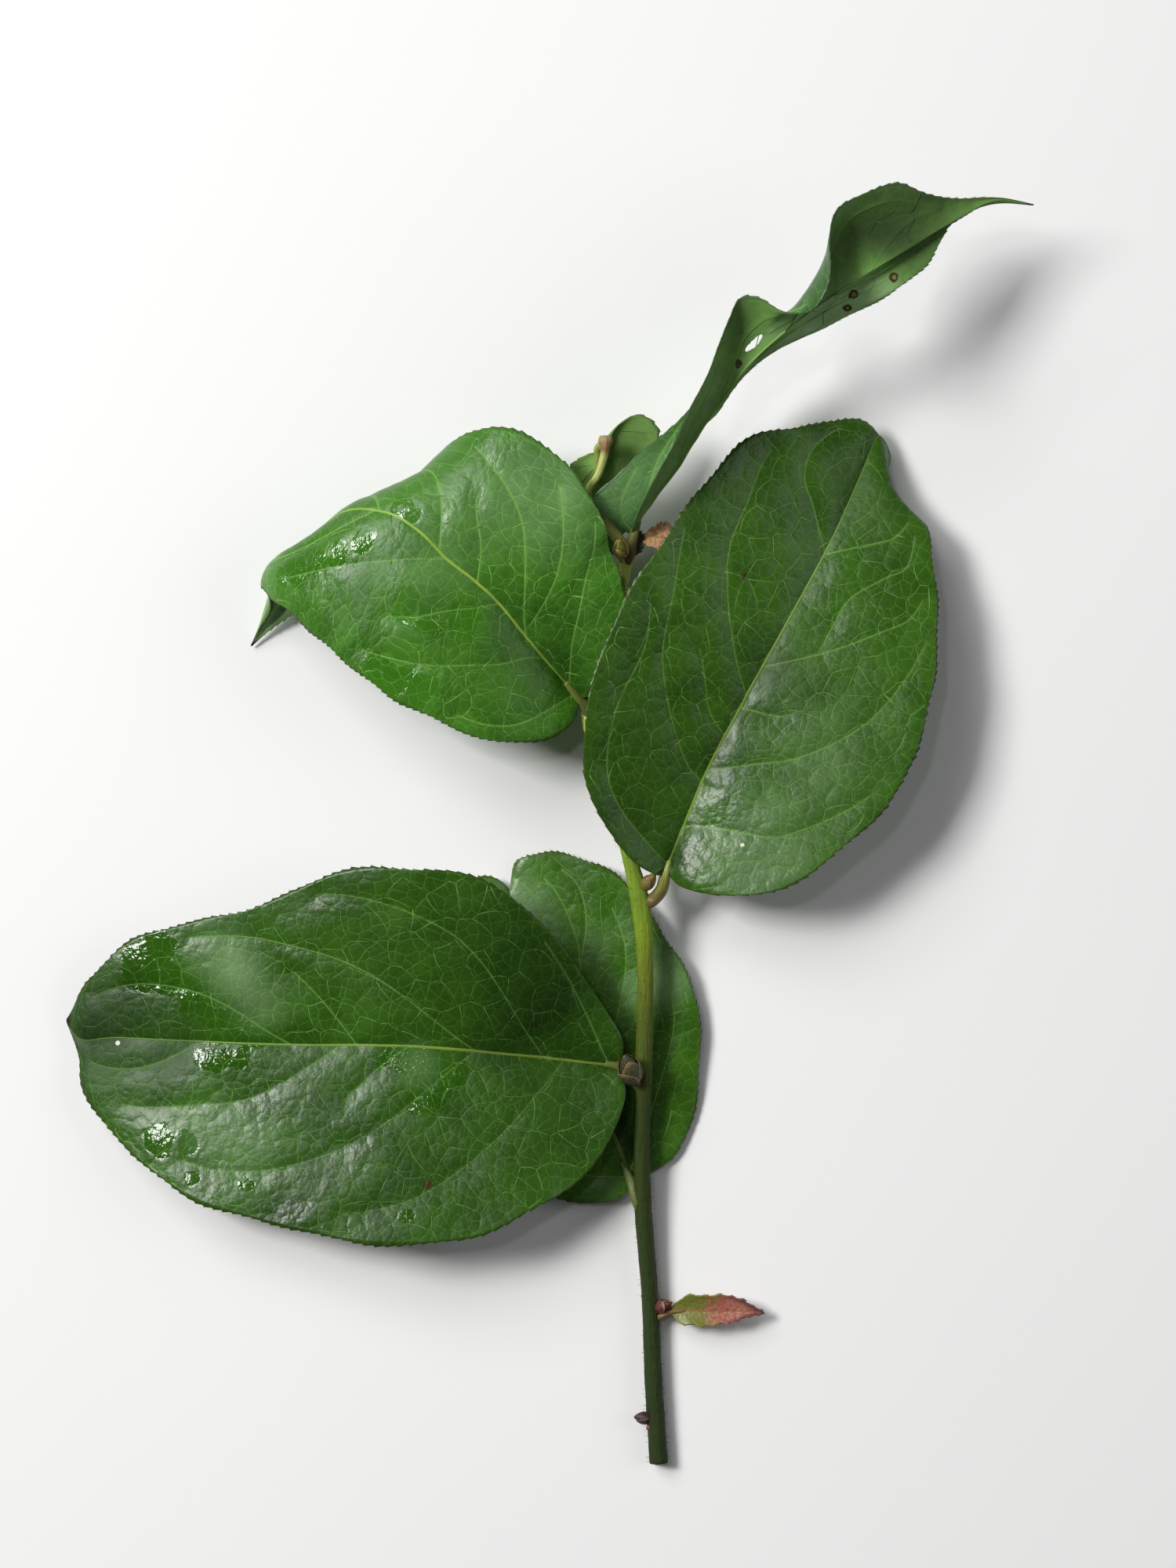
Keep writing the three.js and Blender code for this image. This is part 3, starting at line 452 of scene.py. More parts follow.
# Top and bottom grids joined round their rim into one closed skin; a mask leaves a hole right through.
def closedSheet(top, bottom, material=0, hole=None, **values):
    rows, cols = top.shape[:2]
    at = np.arange(rows * cols).reshape(rows, cols)
    a, b, c, d = at[:-1, :-1], at[:-1, 1:], at[1:, 1:], at[1:, :-1]
    keep = np.ones(a.shape, bool) if hole is None else ~hole
    count = rows * cols
    upper = np.stack([a, b, c, d], -1)[keep]
    lower = np.stack([a, d, c, b], -1)[keep] + count
    rim = np.concatenate([at[0], at[1:, -1], at[-1, -2::-1], at[-2:0:-1, 0]])
    after = np.roll(rim, -1)
    walls = [np.stack([rim, rim + count, after + count, after], -1)]
    if hole is not None:  # walls of the hole stand where a kept face meets a missing one
        rowsGap = hole[1:] != hole[:-1]
        p, q, missingAbove = at[1:-1, :-1][rowsGap], at[1:-1, 1:][rowsGap], hole[1:][rowsGap]
        walls.append(np.where(missingAbove[:, None], np.stack([q, q + count, p + count, p], -1),
                              np.stack([p, p + count, q + count, q], -1)))
        colsGap = hole[:, 1:] != hole[:, :-1]
        p, q, missingRight = at[:-1, 1:-1][colsGap], at[1:, 1:-1][colsGap], hole[:, 1:][colsGap]
        walls.append(np.where(missingRight[:, None], np.stack([p, p + count, q + count, q], -1),
                              np.stack([q, q + count, p + count, p], -1)))
    points = np.concatenate([top.reshape(-1, 3), bottom.reshape(-1, 3)])
    return part(points, [upper, lower, *walls], material, **values)


# Rings of points, shaped (tubes, rings, around, 3), skinned as tubes with closed ends.
def skinnedTubes(ringPoints, material=0, **values):
    tubes, rings, around = ringPoints.shape[:3]
    at = np.arange(tubes * rings * around).reshape(tubes, rings, around)
    a, b = at, np.roll(at, -1, axis=2)
    walls = np.stack([a[:, :-1], b[:, :-1], b[:, 1:], a[:, 1:]], -1).reshape(-1, 4)
    return part(ringPoints.reshape(-1, 3), [walls, at[:, 0, ::-1], at[:, -1]], material, **values)


# Sideways (up x ahead) and upward (ahead x sideways) directions along a line of points.
def carriedFrame(centre):
    ahead = unit(np.gradient(centre, axis=-2))
    side = unit(np.cross(np.broadcast_to((0.0, 0.0, 1.0), ahead.shape), ahead))
    return side, np.cross(ahead, side)


# A round tube on a smooth line of (x, y, z, radius); swell multiplies the radius by ring and angle.
def roundTube(line, rings, around, material=0, swell=None):
    share = np.linspace(0, 1, rings)
    places, length = evenPlaces(line, share)
    centre, radius = places[:, :3], places[:, 3:4]
    side, up = carriedFrame(centre)
    angle = np.linspace(0, 2 * np.pi, around, endpoint=False)
    wide = radius * (1 if swell is None else swell(share[:, None] * length, angle[None]))
    wide = np.broadcast_to(wide, (rings, around))[..., None]
    ringPoints = centre[:, None] + wide * (side[:, None] * np.cos(angle)[None, :, None]
                                          + up[:, None] * np.sin(angle)[None, :, None])
    run = np.repeat(share * length, around)
    place = np.stack([run, np.tile(angle, rings), np.repeat(share, around)], -1)
    return skinnedTubes(ringPoints[None], material, place=place), ringPoints


# The turns are thirds of a full one.
spikeLook = {"shares": (0, 0.5, 1), "radii": (1, 0.75, 0.15), "turns": (0, 2.0944, 4.1888)}


# Thin three-sided spikes, each from a base point along a direction: base + direction x length x share.
def spikes(base, direction, length, radius, material=0):
    direction = unit(direction)
    side = unit(np.cross(direction, np.broadcast_to((0.31, 0.45, 0.83), direction.shape)))
    up = np.cross(direction, side)
    ringPoints = []
    for share, size in zip(spikeLook["shares"], spikeLook["radii"]):
        centre = base + direction * (length * share)[:, None]
        ringPoints.append(np.stack([
            centre + radius * size * (side * np.cos(turn) + up * np.sin(turn)) for turn in spikeLook["turns"]
        ], 1))
    return skinnedTubes(np.stack(ringPoints, 1), material)


# Straight pieces of the side veins pressed flat, for reading distances.
def flatSegments(table, paths):
    starts, ends = [], []
    for path in paths:
        shares = throughPoints(path, np.linspace(0, 1, 22))
        flat = flatPlace(table, shares[:, 0], shares[:, 1])
        starts.append(flat[:-1])
        ends.append(flat[1:])
    return np.concatenate(starts), np.concatenate(ends)


# Distance to the nearest segment: |away - share x run|, with share = away . run / run^2 kept within 0 and 1.
def distanceToSegments(flat, starts, ends):
    out = []
    run = ends - starts
    size = np.maximum((run**2).sum(-1), 1e-9)
    for some in np.array_split(flat, 1 + len(flat) // 3000):
        away = some[:, None] - starts[None]
        share = np.clip((away * run).sum(-1) / size, 0, 1)
        out.append(np.sqrt(((away - share[..., None] * run) ** 2).sum(-1).min(1)))
    return np.concatenate(out)


# Distance to the border between the two nearest cell centres: (far^2 - near^2) over twice their spacing.
def distanceToBorder(flat, seeds):
    out = []
    for some in np.array_split(flat, 1 + len(flat) // 4000):
        away = ((some[:, None] - seeds[None]) ** 2).sum(-1)
        two = np.argpartition(away, 2, axis=1)[:, :2]
        near = np.take_along_axis(away, two, 1)
        apart = np.linalg.norm(seeds[two[:, 0]] - seeds[two[:, 1]], axis=1)
        out.append(np.abs(near[:, 0] - near[:, 1]) / (2 * apart))
    return np.concatenate(out)


# Cell centres on a loosely shaken honeycomb over the flat leaf.
def cellCentres(low, high, along, across, shake, luck):
    x = np.arange(low[0] - along, high[0] + along, along)
    y = np.arange(low[1] - across, high[1] + across, across * 0.87)
    gridX, gridY = np.meshgrid(x, y, indexing="ij")
    gridX = gridX + along * 0.5 * (np.arange(len(y)) % 2)
    seeds = np.stack([gridX.ravel(), gridY.ravel()], -1)
    return seeds + (luck.random(seeds.shape) - 0.5) * shake * np.array([along, across])


# Borders of the cells round the centres: lines between the circumcentres of neighbouring triangles.
def cellBorders(seeds):
    made = geometry.delaunay_2d_cdt([tuple(p) for p in seeds], [], [], 0, 1e-6)
    points = np.array([tuple(p) for p in made[0]])
    triangles = np.array([f for f in made[2] if len(f) == 3])
    a, b, c = (points[triangles[:, k]] for k in range(3))
    ab, ac = b - a, c - a
    turn = 2 * (ab[:, 0] * ac[:, 1] - ab[:, 1] * ac[:, 0])
    sizeB, sizeC = (ab**2).sum(-1), (ac**2).sum(-1)
    out = np.stack([ac[:, 1] * sizeB - ab[:, 1] * sizeC, ab[:, 0] * sizeC - ac[:, 0] * sizeB], -1)
    centre = a + out / turn[:, None]
    sides = np.sort(
        np.concatenate([triangles[:, [0, 1]], triangles[:, [1, 2]], triangles[:, [2, 0]]]), axis=1)
    owner = np.tile(np.arange(len(triangles)), 3)
    key = sides[:, 0] * len(points) + sides[:, 1]
    order = np.argsort(key, kind="stable")
    key, owner = key[order], owner[order]
    shared = np.nonzero(key[:-1] == key[1:])[0]
    return centre[owner[shared]], centre[owner[shared + 1]]


veinLook = {
    "midrib": {"base": 0.47, "tip": 0.12, "rise": 0.12, "drop": 0.75},
    "side": {"base": 0.22, "tip": 0.12, "rise": 0.05, "drop": 0.28},
    "net": {"wide": 0.09, "rise": 0.03, "drop": 0.08, "along": 4.4, "across": 6.2, "shake": 0.85},
}


def halfWidth(rib, taper):  # tip + (base - tip) x taper
    return rib["tip"] + (rib["base"] - rib["tip"]) * taper


# The height of the blade above its plain surface: it domes up between veins and sinks along them,
# each term of the form height x (1 - exp(-distance / reach)).
def bladeSwell(flat, ribs, seeds, width, amount):
    toMidrib = np.abs(flat[:, 1])
    toSide = distanceToSegments(flat, *ribs)
    toBorder = distanceToBorder(flat, seeds)
    ease = np.clip(width / 10, 0, 1)
    high = 0.4 * (1 - np.exp(-toMidrib / 1.8)) + 0.42 * (1 - np.exp(-toSide / 2.3))
    high += 0.055 * (1 - np.exp(-toBorder / 0.8))
    roll = 0.16 * np.sin(flat[:, 0] * 0.31 + 1.3 * np.sin(flat[:, 1] * 0.2)) * np.sin(flat[:, 1] * 0.27 + 0.6)
    return amount * ease * (high - 0.55 + roll), np.minimum(toMidrib, toSide)


# A bundle of vein tubes along paths of (u, y), seated in the swollen blade. Each ring is a low diamond:
# its flanks lie at the blade's upper face, its crest rises above it and its keel drops below the lower face.
def veinTubes(table, u, y, halfWide, rise, drop, order, swellAt, thick, profile):
    normal = bladeNormal(table, u, y)
    flat = flatPlace(table, u, y)
    height = swellAt(flat.reshape(-1, 2), u.ravel()).reshape(u.shape)
    centre = bladePoint(table, u, y) + normal * height[..., None]
    ahead = unit(np.gradient(centre, axis=-2))
    side = unit(np.cross(normal, ahead))
    lift = np.where(profile[:, 1] >= 0, thick / 2 + rise * profile[:, 1], 0)
    sink = np.where(profile[:, 1] < 0, profile[:, 1], 0)
    tall = lift + np.where(profile[:, 1] < 0, thick / 2, 0) + sink * (thick + np.asarray(drop)[..., None])
    ringPoints = (centre[..., None, :] + side[..., None, :] * (halfWide[..., None] * profile[:, 0])[..., None]
                  + normal[..., None, :] * tall[..., None])
    upper = np.broadcast_to((profile[:, 1] > -0.5).astype(float), tall.shape)
    rank = np.broadcast_to(np.asarray(order, float)[..., None], tall.shape)
    far = np.broadcast_to(u[..., None], tall.shape)
    place = np.stack([far, rank, upper], -1).reshape(-1, 3)
    spread = np.broadcast_to(flat[..., None, :], (*tall.shape, 2)).reshape(-1, 2)
    pressed = np.concatenate([spread, place[:, 2:]], 1)
    return skinnedTubes(ringPoints, 1, place=place, flat=pressed)


diamond = np.array([(1, -0.06), (0, 1), (-1, -0.06), (0, -1)], float)
cord = np.stack([np.cos(np.linspace(0, 2 * np.pi, 10, endpoint=False)),
                 np.sin(np.linspace(0, 2 * np.pi, 10, endpoint=False))], -1)

bladeLook = {"rows": 269, "halfColumns": 63, "thick": 0.36, "toothDepth": 0.27, "swell": 1.0}


# Saw teeth, four rows to a tooth, rising toward the leaf's tip and each a little different.
def marginTeeth(rows, depth, luck):
    step = np.array([0.0, 0.3, 0.65, 1.0])[np.arange(rows) % 4]
    size = np.repeat(depth * (0.55 + 0.75 * luck.random(rows // 4 + 1)), 4)[:rows]
    share = np.linspace(0, 1, rows)
    wander = 0.22 * np.sin(share * 47 + 5 * luck.random()) + 0.15 * np.sin(share * 23 + 5 * luck.random())
    return (step * size + wander) * np.clip(share * 20, 0, 1) * np.clip((0.985 - share) * 25, 0, 1)


# A soft spot on the flat leaf: exp(-(distance / size)^2) from a place given by its shares.
def spot(table, flat, along, across, size):
    away = flat - flatPlace(table, np.array(along), np.array(across))
    return np.exp(-(away**2).sum(-1) / size**2)


# Painted light and shade, sparkle and dullness of the skin:
# 1 plus the painted shade spots, the most of the glitter, the most of the dulls.
def paintedShadeAndSkinSpots(table, shape, flat):
    paintedShade, glitter, dull = np.ones(len(flat)), np.zeros(len(flat)), np.zeros(len(flat))
    for along, across, size, amount in shape.get("paintedShadeSpots", []):
        paintedShade += amount * spot(table, flat, along, across, size)
    for along, across, size in shape.get("glitter", []):
        glitter = np.maximum(glitter, spot(table, flat, along, across, size))
    for along, across, size, amount in shape.get("dulls", []):
        dull = np.maximum(dull, amount * spot(table, flat, along, across, size))
    return np.stack([np.clip(paintedShade, 0.2, 2), glitter, dull], -1)


# The parts of one leaf: blade = middle surface + normal x (swell +- thickness / 2),
# then its veins, bristles and petiole.
def leafParts(shape, look, luck):
    table = leafTable(shape)
    rows, half, thick = look["rows"], look["halfColumns"], look["thick"]
    share = np.linspace(0, 1, rows)
    start, span = detail["reach"]
    u, y = np.meshgrid(start + span * share, np.linspace(-1, 1, 2 * half + 1), indexing="ij")
    hole = None
    if "hole" in shape:
        hole, u, y = chewedHole(table, shape["hole"], u, y)
    paths = [[(a, -b) for a, b in path] for path in shape.get("leftVeins", [])] + shape.get("rightVeins", [])
    ribs = flatSegments(table, paths or [[(0, 0), (0.5, 0), (1, 0)]])
    flat = flatPlace(table, u, y)
    net = veinLook["net"]
    low, high = flat.reshape(-1, 2).min(0), flat.reshape(-1, 2).max(0)
    seeds = cellCentres(low, high, net["along"], net["across"], net["shake"], luck)

    def widthAt(places):  # |right - left|
        return np.linalg.norm(readTable(table, "right", places) - readTable(table, "left", places), axis=-1)

    def swellAt(flat, u):  # height of the blade above its plain surface
        return bladeSwell(flat, ribs, seeds, widthAt(u), look["swell"])[0]

    height, toRib = bladeSwell(flat.reshape(-1, 2), ribs, seeds, widthAt(u.ravel()), look["swell"])
    middle = bladePoint(table, u, y)
    normal = unit(np.cross(np.gradient(middle, axis=1), np.gradient(middle, axis=0)))
    for edge, inner in ((0, 3), (-1, -4)):
        outward = unit(middle[:, edge] - middle[:, inner])
        middle[:, edge] += outward * marginTeeth(rows, look["toothDepth"], luck)[:, None]
    thin = thick * (0.5 + 0.5 * np.clip((1 - np.abs(y)) * 14, 0, 1))
    top = middle + normal * (height.reshape(u.shape) + thin / 2)[..., None]
    bottom = middle + normal * (height.reshape(u.shape) - thin / 2)[..., None]
    toEdge = (1 - np.abs(y)) * widthAt(u) / 2
    wet = np.zeros(u.shape)
    for along, across, size in shape.get("wet", []):
        wet = np.maximum(wet, spot(table, flat, along, across, size))
    zones = np.stack([toRib.reshape(u.shape), toEdge, wet], -1).reshape(-1, 3)
    marks = np.zeros((*u.shape, 3))
    for along, across, size, kind in shape.get("marks", []):
        layer, most = {"pale": (0, 1), "dark": (1, 1), "brown": (2, 0.7), "scar": (2, 1)}[kind]
        marks[..., layer] = np.maximum(marks[..., layer], most * spot(table, flat, along, across, size * 1.2))
    place = np.stack([u.ravel(), np.abs(y).ravel()], -1)
    upper, lower = np.ones((u.size, 1)), np.zeros((u.size, 1))
    parts = [closedSheet(
        top, bottom, 0, hole,
        flat=np.concatenate([
            np.hstack([flat.reshape(-1, 2), upper]), np.hstack([flat.reshape(-1, 2), lower])]),
        zones=np.tile(zones, (2, 1)), marks=np.tile(marks.reshape(-1, 3), (2, 1)),
        place=np.concatenate([np.hstack([place, upper]), np.hstack([place, lower])]),
    )]

    rib = veinLook["midrib"]
    run = np.linspace(0.002, 0.985, 130)[None]
    taper = (1 - run) ** 1.2
    wideScale = look.get("ribScale", 1)
    parts.append(veinTubes(
        table, run, np.zeros_like(run), wideScale * halfWidth(rib, taper), rib["rise"] * wideScale,
        rib["drop"] * taper * wideScale, np.zeros_like(run), swellAt, thick, cord))
    rib = veinLook["side"]
    if paths:
        share = np.linspace(0, 1, 34)
        shares = np.stack([throughPoints(path, share) for path in paths])
        taper = np.broadcast_to(1 - share, shares.shape[:2])
        parts.append(veinTubes(
            table, shares[..., 0], shares[..., 1], wideScale * halfWidth(rib, taper), rib["rise"],
            rib["drop"] * taper, 0.25 + 0.35 * (1 - taper), swellAt, thick, diamond))
    if look.get("net", True):
        start, end = cellBorders(seeds)
        run = np.linspace(0, 1, 4)[None, :, None]
        across = (end - start)[:, ::-1] * (-1, 1)
        bend = 0.16 * (luck.random(len(start)) - 0.5)[:, None, None]
        lines = start[:, None] + (end - start)[:, None] * run + across[:, None] * bend * np.sin(np.pi * run)
        netU, netY, miss = sharesAt(table, lines.reshape(-1, 2))
        miss = miss.reshape(lines.shape[:2])
        netU, netY = netU.reshape(miss.shape), netY.reshape(miss.shape)
        good = (miss.max(1) < 0.4) & (np.linalg.norm(end - start, axis=1) > 0.5) & (netU.max(1) < 0.97)
        good &= (np.abs(netY).max(1) < 0.985) & (netU.min(1) > 0.012)
        netU, netY = netU[good], netY[good]
        netY = np.where(netY * netY[:, :1] < 0, 0.03 * netY, netY)  # lines end under the midrib
        rank = np.full(netU.shape, 1.0) * (0.8 + 0.2 * luck.random(len(netU)))[:, None]
        wide = np.full(netU.shape, net["wide"]) * (0.8 + 0.5 * luck.random(len(netU)))[:, None]
        parts.append(veinTubes(table, netU, netY, wide, net["rise"], np.full(netU.shape, net["drop"]),
                               rank, swellAt, thick, diamond))
    if look.get("bristles", True):
        tips = np.arange(rows)[(np.arange(rows) % 4 == 3) & (u[:, 0] > 0.03) & (u[:, 0] < 0.97)]
        for edge, inner in ((0, 3), (-1, -4)):
            outward = unit(middle[tips, edge] - middle[tips, inner])
            forward = unit(middle[np.minimum(tips + 1, rows - 1), edge] - middle[tips - 1, edge])
            length = look.get("bristleLength", 0.34) * (0.6 + 0.8 * luck.random(len(tips)))
            parts.append(spikes(middle[tips, edge], outward + 0.8 * forward, length, 0.04, 3))
    # Every part of the leaf carries its painted light and shade, glitter and dullness as "light".
    for values in (made["values"] for made in parts if "flat" in made["values"]):
        values["light"] = paintedShadeAndSkinSpots(table, shape, values["flat"][:, :2])
    if "petiole" in shape:
        line = [(*p, r) for p, r in zip(shape["petiole"], shape["petioleRadii"])]
        parts.append(roundTube(line, 40, 18, 2, lambda run, angle: 1 + 0.05 * np.sin(3 * angle + run))[0])
    return parts


# Grid faces inside a pointed ellipse are left out, and the points round it move onto its outline.
def chewedHole(table, hole, u, y):
    flat = flatPlace(table, u, y)
    centre = flatPlace(table, np.array(hole["at"][0]), np.array(hole["at"][1]))
    away = flat - centre
    along, across = away[..., 0], away[..., 1]
    ragged = 1 + 0.12 * np.sin(5 * np.arctan2(across, along))
    size = np.hypot(along / (hole["length"] / 2), across / (hole["width"] / 2)) / ragged
    middleSize = (size[:-1, :-1] + size[1:, :-1] + size[:-1, 1:] + size[1:, 1:]) / 4
    missing = middleSize < 1
    near = np.zeros(u.shape, int)
    for rowsCut in (slice(None, -1), slice(1, None)):
        for colsCut in (slice(None, -1), slice(1, None)):
            near[rowsCut, colsCut] += missing
    border = (near > 0) & (near < 4)
    target = centre + away[border] / size[border][:, None]
    newU, newY, miss = sharesAt(table, target)
    u, y = u.copy(), y.copy()
    fine = miss < 0.3
    spotU, spotY = u[border], y[border]
    spotU[fine], spotY[fine] = newU[fine], newY[fine]
    u[border], y[border] = spotU, spotY
    return missing, u, y

stem = {
    "line": [
        (21.5, -115.75, 1.75, 1.7), (20.5, -100.5, 2, 1.65), (19.75, -84.5, 2.5, 1.55),
        (18.5, -68.5, 3.75, 1.6), (18.25, -55.25, 5.25, 1.5), (18.5, -43.75, 6.5, 1.6),
        (18.75, -32.25, 7.5, 1.5), (18.75, -22, 8.5, 1.5), (18, -12.75, 9.25, 1.75),
        (15.5, -2, 9.75, 1.3), (11.75, 11.75, 10.25, 1.25), (8.5, 22, 10.75, 1.3),
        (10.75, 32.25, 11.5, 1.1), (14, 43, 12.5, 1), (15, 51.5, 14, 1.2), (11.5, 57, 15.5, 0.8),
        (8.25, 61.75, 17, 0.75), (10.25, 65.5, 18.5, 0.7), (11.25, 68.75, 19.5, 0.75),
        (11.5, 70.25, 20, 0.95), (11.5, 71.25, 20, 1.4), (11.5, 72.25, 20, 1.1),
    ],
    "rings": 560, "around": 36, "hairs": 620, "hairReach": 118, "hairLength": 0.75,
}


# Radius share of the stem at a run along it and an angle round it: three low ridges that wind slowly,
# with a finer ripple and a slight unevenness.
def stemRipple(run, angle):
    ridges = 0.035 * np.cos(3 * angle + 0.045 * run) + 0.012 * np.cos(7 * angle - 0.09 * run)
    return 1 + ridges + 0.012 * np.sin(run * 0.9 + 2 * angle) + 0.008 * np.sin(run * 2.7 - angle)


# The stem's tube, its hairs at random rings and angles, the pith at the cut end and the lowest leaf scar.
def stemParts(look, luck):
    tube, ringPoints = roundTube(look["line"], look["rings"], look["around"], 0, stemRipple)
    centre = ringPoints.mean(1)
    reach = evenPlaces(look["line"], np.linspace(0, 1, look["rings"]))[1]
    ring = (luck.random(look["hairs"]) ** 1.25 * look["hairReach"] / reach * look["rings"]).astype(int)
    angle = luck.integers(0, look["around"], look["hairs"])
    base = ringPoints[ring, angle]
    away = unit(base - centre[ring])
    lean = unit(luck.normal(size=base.shape)) * 0.5
    length = look["hairLength"] * (0.4 + 1.1 * luck.random(look["hairs"]))
    parts = [tube, spikes(base - away * 0.05, away + lean, length, 0.035, 1)]
    pith = [(21.6, -115.9, 1.75, 0.9), (21.5, -115.6, 1.76, 0.9)]
    parts.append(roundTube(pith, 3, 20, 2)[0])
    scar = [(19.75, -109.7, 2.5, 0.15), (19.55, -109.2, 2.55, 0.5), (19.45, -108.7, 2.6, 0.15)]
    parts.append(roundTube(scar, 9, 12, 3)[0])
    return parts


buds = {
    "bud_lowest": {
        "foot": (20.1, -107.5, 2.25), "tip": (16.75, -107.25, 2.5), "width": 2.1, "scales": 3, "flare": 0.1,
        "deep": (0.035, 0.014, 0.016), "rim": (0.12, 0.08, 0.06),
    },
    "bud_young_leaf": {
        "foot": (20.6, -87.4, 2.75), "tip": (24, -85.75, 4), "width": 2.1, "scales": 4, "flare": 0.35,
        "deep": (0.09, 0.02, 0.016), "rim": (0.33, 0.2, 0.13),
    },
    "bud_lower_left": {
        "foot": (16.9, -45, 8.6), "tip": (14.9, -39.6, 13), "width": 4.3, "scales": 6, "flare": 0.12,
        "deep": (0.034, 0.036, 0.012), "rim": (0.2, 0.12, 0.05),
    },
    "bud_right": {
        "foot": (18.5, -9.6, 10.2), "tip": (20.5, -6.5, 12.75), "width": 2.3, "scales": 3, "flare": 0,
        "deep": (0.12, 0.1, 0.02), "rim": (0.3, 0.13, 0.03),
    },
    "bud_upper_left": {
        "foot": (8.3, 24.6, 10.5), "tip": (7.25, 27.75, 11), "width": 1.7, "scales": 3, "flare": 0,
        "deep": (0.09, 0.06, 0.02), "rim": (0.2, 0.12, 0.04),
    },
    "bud_top": {
        "foot": (14.5, 51, 14.6), "tip": (14, 53.5, 20.5), "width": 2.8, "scales": 4, "flare": 0.05,
        "deep": (0.16, 0.17, 0.03), "rim": (0.38, 0.2, 0.05),
    },
}


# Radius of a bud at a share of its length: a pointed egg, half width x sin(pi x share^0.75)^0.8.
def budRadius(look, share):
    return look["width"] / 2 * np.sin(np.pi * np.clip(share, 0, 1) ** 0.75) ** 0.8


# A bud's core and its scales, which taper to a point
# and wrap it by an angle of 1.25 v sqrt(1 - s^2.2) either way.
def budParts(look, luck):
    foot, tip = np.array(look["foot"], float), np.array(look["tip"], float)
    axis, length = unit(tip - foot), np.linalg.norm(tip - foot)
    side = unit(np.cross(axis, (0.2, -0.4, 0.9)))
    side, up = -side, np.cross(axis, side)  # turned so that the skin faces outward
    share = np.linspace(0.02, 0.985, 26)
    angle = np.linspace(0, 2 * np.pi, 24, endpoint=False)
    wide = budRadius(look, share)[:, None, None] * (0.93 + 0.03 * np.cos(5 * angle))[None, :, None]
    ringPoints = (foot + axis * (share * length)[:, None])[:, None] + wide * (
        up[None, None] * np.cos(angle)[None, :, None] + side[None, None] * np.sin(angle)[None, :, None])
    place = np.stack([np.repeat(share, 24), np.full(26 * 24, 0.2), np.zeros(26 * 24)], -1)
    parts = [skinnedTubes(ringPoints[None], 0, place=place)]
    for k in range(look["scales"]):  # each scale wraps part of the way round and tapers to a point
        start = 0.04 + 0.05 * k
        stop = min(0.97, 0.52 + 0.5 * (k + 1) / look["scales"] - 0.12 * luck.random())
        s, v = np.meshgrid(np.linspace(0, 1, 18), np.linspace(-1, 1, 15), indexing="ij")
        along = start + (stop - start) * s
        turn = 2.4 * k + 1.25 * v * np.sqrt(np.clip(1 - s**2.2, 0.004, 1))
        radius = budRadius(look, along) * (1 + look["flare"] * s**2) + 0.07
        radius = radius + 0.05 * (look["scales"] - k) / look["scales"]
        skins = []
        for layer in (0.05, -0.05):
            r = (radius + layer * (1 - 0.7 * np.abs(v)))[..., None]
            skins.append(foot + axis * (along * length)[..., None]
                         + r * (up * np.cos(turn)[..., None] + side * np.sin(turn)[..., None]))
        place = np.stack(
            [s.ravel(), np.maximum(np.abs(v), s).ravel(), np.full(s.size, k / look["scales"])], -1)
        parts.append(closedSheet(*skins, 0, place=np.tile(place, (2, 1))))
    return parts


youngLeaf = {
    "midrib": [(23.5, -87.5, 3), (27, -87.5, 3.25), (31.5, -87.5, 3.5), (36.5, -87.5, 3.5), (41, -88, 3)],
    "left": [(24.5, -86, 3.5), (27, -84.5, 4.5), (31, -84.5, 4.5), (34.5, -84.5, 4.5), (38, -86, 4)],
    "right": [(25, -89.5, 3.5), (27.5, -90, 4.5), (31, -90, 4.5), (34.5, -89.5, 4.5), (38, -88.5, 4)],
    "leftBulge": [-0.3, -0.3],
    "rightBulge": [-0.3, -0.3],
    "petiole": [(19.75, -89.25, 2.5), (21.75, -88.5, 2.75), (23.5, -87.75, 3), (26, -87.5, 3.2)],
    "petioleRadii": [0.6, 0.55, 0.5, 0.3],
    "leftVeins": [[(0.1, 0), (0.2, 0.4), (0.35, 0.75)], [(0.3, 0), (0.42, 0.4), (0.56, 0.7)]],
    "rightVeins": [[(0.08, 0), (0.18, 0.4), (0.33, 0.75)], [(0.28, 0), (0.4, 0.4), (0.54, 0.7)]],
    "petioleColours": ((0.24, 0.1, 0.03), (0.22, 0.17, 0.04)),
}
youngLook = {
    "rows": 101, "halfColumns": 20, "thick": 0.3, "toothDepth": 0.09, "swell": 0.35, "ribScale": 0.45,
    "net": False, "bristleLength": 0.5,
}
dryScales = {
    "withered_scale": {
        "midrib": [(15.9, 50.6, 14.2), (17.1, 52.9, 14.6), (17.6, 55.8, 15)],
        "left": [(16.3, 53, 15.6), (17.1, 55, 15.8)],
        "right": [(18, 52, 14.1), (18.5, 54.2, 14.5)],
        "leftBulge": [0.1, 0.1], "rightBulge": [0.1, 0.1],
    },
    "dry_bract": {
        "midrib": [(17.6, 54, 14.4), (20, 54.4, 14.5), (23.6, 56.4, 15)],
        "left": [(19.8, 55.8, 15), (21.8, 56.9, 15.25)],
        "right": [(19.8, 52.6, 14.6), (22.6, 53, 15)],
        "leftBulge": [0.2, 0.2], "rightBulge": [0.2, 0.2],
    },
}
dryLook = {
    "rows": 61, "halfColumns": 12, "thick": 0.22, "toothDepth": 0.4, "swell": 0.9, "ribScale": 0.3,
    "net": False, "bristles": False,
}

